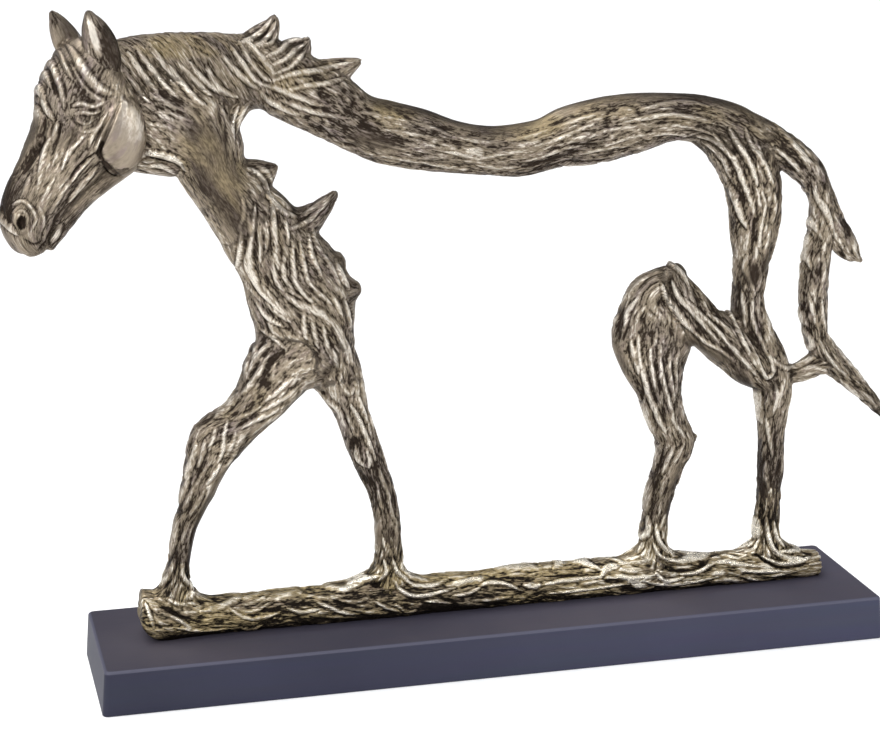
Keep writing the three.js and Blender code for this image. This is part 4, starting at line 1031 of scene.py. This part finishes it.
def ear_stations(ear):
    """A leaf from base to tip, widest at its middle."""
    (x, z), (tip_x, tip_z) = ear["base"], ear["tip"]
    leaf = numbers("-0.15 0.6 0.8; 0.2 0.9 1; 0.5 0.88 0.9; 0.78 0.58 0.6; 0.95 0.22 0.3")
    return [[x + share * (tip_x - x), z + share * (tip_z - z), ear["wide"] * half, ear["deep"] * thick,
             ear["y"]] for share, half, thick in leaf]


def dent(points, centre, radii):
    """How deep inside an ellipsoid a point lies: 1 at its centre and 0 at its skin."""
    q = (points - centre) / radii
    return np.clip(1 - (q ** 2).sum(1), 0, 1)


def face_marks(points, normals):
    """Nostrils, and the rim and the hollow of each ear."""
    lift = np.zeros(len(points))
    for side in (-1, 1):
        lift = lift - 3.4 * dent(points, [-250.6, side * 13, 261], [2.6, 7, 4])
    for ear in EARS:
        base, tip = np.array(ear["base"]), np.array(ear["tip"])
        share = ((points[:, [0, 2]] - base) @ (tip - base)) / ((tip - base) ** 2).sum()
        middle = base + np.clip(share, 0, 1)[:, None] * (tip - base)
        leaf = np.clip(np.sin(np.pi * np.clip((share - 0.02) / 0.96, 0, 1)), 0, 1)
        across = (points[:, 0] - middle[:, 0]) / (ear["wide"] * (0.25 + 0.75 * leaf))
        near = (np.abs(points[:, 1] - ear["y"]) < ear["deep"] + 2) * (share > 0.05)
        rim = np.exp(-((np.abs(across) - 0.82) / 0.16) ** 2)
        dish = np.exp(-((across + ear["lobe"]) / 0.4) ** 2) * ease(np.abs(normals[:, 1]), 0.2, 0.7)
        lift = lift + near * leaf * (ear["rim"] * rim - ear["dish"] * dish)
    return lift


def head_smooth_and_painted_light(points, normals):
    """The cheek disc is polished; the ears' backs, the jaw and the muzzle's corner are smooth, with painted
    shade, and the ear's rim has a painted highlight; the front of the nose is smooth, with painted shade."""
    inside, tone = spots(points, SMOOTH_AND_PAINTED_LIGHT_HEAD)
    cheek = ease(dent(points, [CHEEK["x"], 0, CHEEK["z"]], [13.2, 40, 21]), 0.02, 0.14)
    z = points[:, 2]
    # Painted shade on the front of the nose, where its faces look forward.
    shaded_nose_front = ease(-normals[:, 0], 0.6, 0.86) * ease(z, 258, 268) * (1 - ease(z, 306, 318))
    tone = np.where(cheek > inside, 0.56 + 0.5 * (cloud(points / [5, 5, 17], 21) - 0.5), tone)
    inside = np.maximum(inside, cheek)
    return np.maximum(inside, 0.92 * shaded_nose_front), np.where(shaded_nose_front > inside, 0.07, tone)


def head_gold(points):
    return np.full(len(points), 0.25)


head_parts = list(HEAD.values()) + [dict(twist=0, stations=ear_stations(ear)) for ear in EARS]
head_shells = [tube(part["stations"]) for part in head_parts]
head_shells += [oval_ball(**{**lump, "y": side * lump["y"]}) for side in (-1, 1)
                for lump in (CHEEK, EYE, NOSTRIL_RIM)]
head = fused("casting_head", head_shells, voxel=0.6, smooth_steps=5)
finish_casting(head, guides_for(head_parts, 61), CHAMPAGNE, FACE_STROKES, head_smooth_and_painted_light, head_gold, most=150000,
               strength=0.42, extra=face_marks, calm=0.3, span=2.68)
set_points(head.data, turned(points_of(head.data)))

for piece in (body, log, head):
    set_points(piece.data, points_of(piece.data) + [0, 0, LIFT])
    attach(piece, "root")
    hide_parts("horse")


# Plinth

def board(length, depth, thick, draft, corner, arris, chamfer):
    """Rounded rectangles stacked from a small bevel below to a quarter-round along the top; the end faces
    lean in by the draft. Rows are z and inset; columns go round the outline."""
    quarter = np.linspace(0, np.pi / 2, 7)
    rows = [(0, chamfer), (chamfer, 0), (thick * 0.5, 0)]
    rows += [(thick - arris * (1 - np.sin(a)), arris * (1 - np.cos(a))) for a in quarter]
    turn = np.concatenate([k * np.pi / 2 + quarter for k in range(4)])
    sx = np.repeat([1, -1, -1, 1], 7)
    sy = np.repeat([1, 1, -1, -1], 7)
    rings = []
    for z, inset in rows:
        half_x = length / 2 - draft * z / thick - inset
        radius = corner - inset / 2
        rings.append(np.stack([sx * (half_x - radius) + radius * np.cos(turn),
                               sy * (depth / 2 - inset - radius) + radius * np.sin(turn),
                               np.full(len(turn), float(z))], 1))
    sides, count = len(turn), len(rings)
    bottom = list(range(sides))[::-1]
    top = [(count - 1) * sides + k for k in range(sides)]
    mesh = bpy.data.meshes.new("plinth_board")
    faces = ring_faces(count, sides, poles=False).tolist() + [bottom, top]
    mesh.from_pydata((np.vstack(rings) * MM).tolist(), [], faces)
    mesh.validate()
    ring = np.repeat(np.arange(count), sides)
    # A painted highlight along the rounded top arris.
    store(mesh, "arris", 0.6 * ((ring > 3) & (ring < 9)))
    # Painted light on the top face.
    store(mesh, "painted_top_light", 0.9 * (ring == count - 1))
    mesh.shade_smooth()
    return mesh


plinth = put("plinth_board", board(**BOARD), painted_board())
crisp = plinth.modifiers.new("crisp faces", "WEIGHTED_NORMAL")
crisp.keep_sharp = True
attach(plinth, "root")
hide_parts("plinth")

# Studio

pale, wires, floor_shader = new_material("pale_floor")
wires.feed(floor_shader, Base_Color=(0.93, 0.93, 0.93), Roughness=0.9, Specular_IOR_Level=0.1)
floor_mesh = bpy.data.meshes.new("floor")
floor_mesh.from_pydata([(-12, -6, 0), (12, -6, 0), (12, 18, 0), (-12, 18, 0)], [], [(0, 1, 2, 3)])
floor = put("floor", floor_mesh, pale)

# The room is pale in front and darker behind.
world = bpy.data.worlds.new("soft room")
world.use_nodes = True
room = Wiring(world.node_tree)
sides = room.add("ShaderNodeSeparateXYZ", Vector=room.add("ShaderNodeTexCoord")["Generated"])
wall = room.blend(room.eased(sides["Y"], 0.4, -0.9), (0.16, 0.165, 0.18), (0.62, 0.63, 0.66))
room.feed(world.node_tree.nodes["Background"].inputs, Color=wall)
bpy.context.scene.world = world


def aimed(lamp, place, direction):
    """Puts a lamp in its place and points it that way."""
    holder = put(lamp.name, lamp)
    holder.location = place
    holder.rotation_euler = Vector(direction).to_track_quat("-Z", "Y").to_euler()


def soft_light(name, place, side, power):
    """A square lamp that looks at the middle of the horse."""
    lamp = bpy.data.lights.new(name, "AREA")
    lamp.shape = "RECTANGLE"
    lamp.size = lamp.size_y = side
    lamp.energy = power
    aimed(lamp, place, Vector((0, 0, 0.18)) - Vector(place))


soft_light("key", (-1.0, -1.5, 1.3), 0.7, 26.5)
soft_light("fill", (1.3, -1.4, 0.8), 0.8, 8)
sky = bpy.data.lights.new("sky", "SUN")
sky.energy = 3.0
sky.angle = np.radians(50)
aimed(sky, (0, 0, 0), (0.3, -0.14, -0.93))

# The camera was worked out from the board's corners in the photograph.
cam = bpy.data.cameras.new("camera")
cam.sensor_width = 36
cam.sensor_fit = "HORIZONTAL"
cam.lens = 2231.0 / 880 * 36
cam.clip_end = 100
camera = put("camera", cam)
pitch, yaw, roll = np.radians([14.77, -13.91, -0.34])


def rotation(axis, angle):
    return np.array(Matrix.Rotation(angle, 3, axis))


level = np.array([[1, 0, 0], [0, 0, -1], [0, 1, 0]])
view = rotation("Z", roll) @ rotation("X", pitch) @ rotation("Y", yaw) @ level
pose = Matrix(np.column_stack([view[0], -view[1], -view[2]]).tolist()).to_4x4()
pose.translation = (-0.309, -1.141, 0.473)
camera.matrix_world = pose
bpy.context.scene.camera = camera
bpy.context.scene.view_settings.view_transform = "Standard"
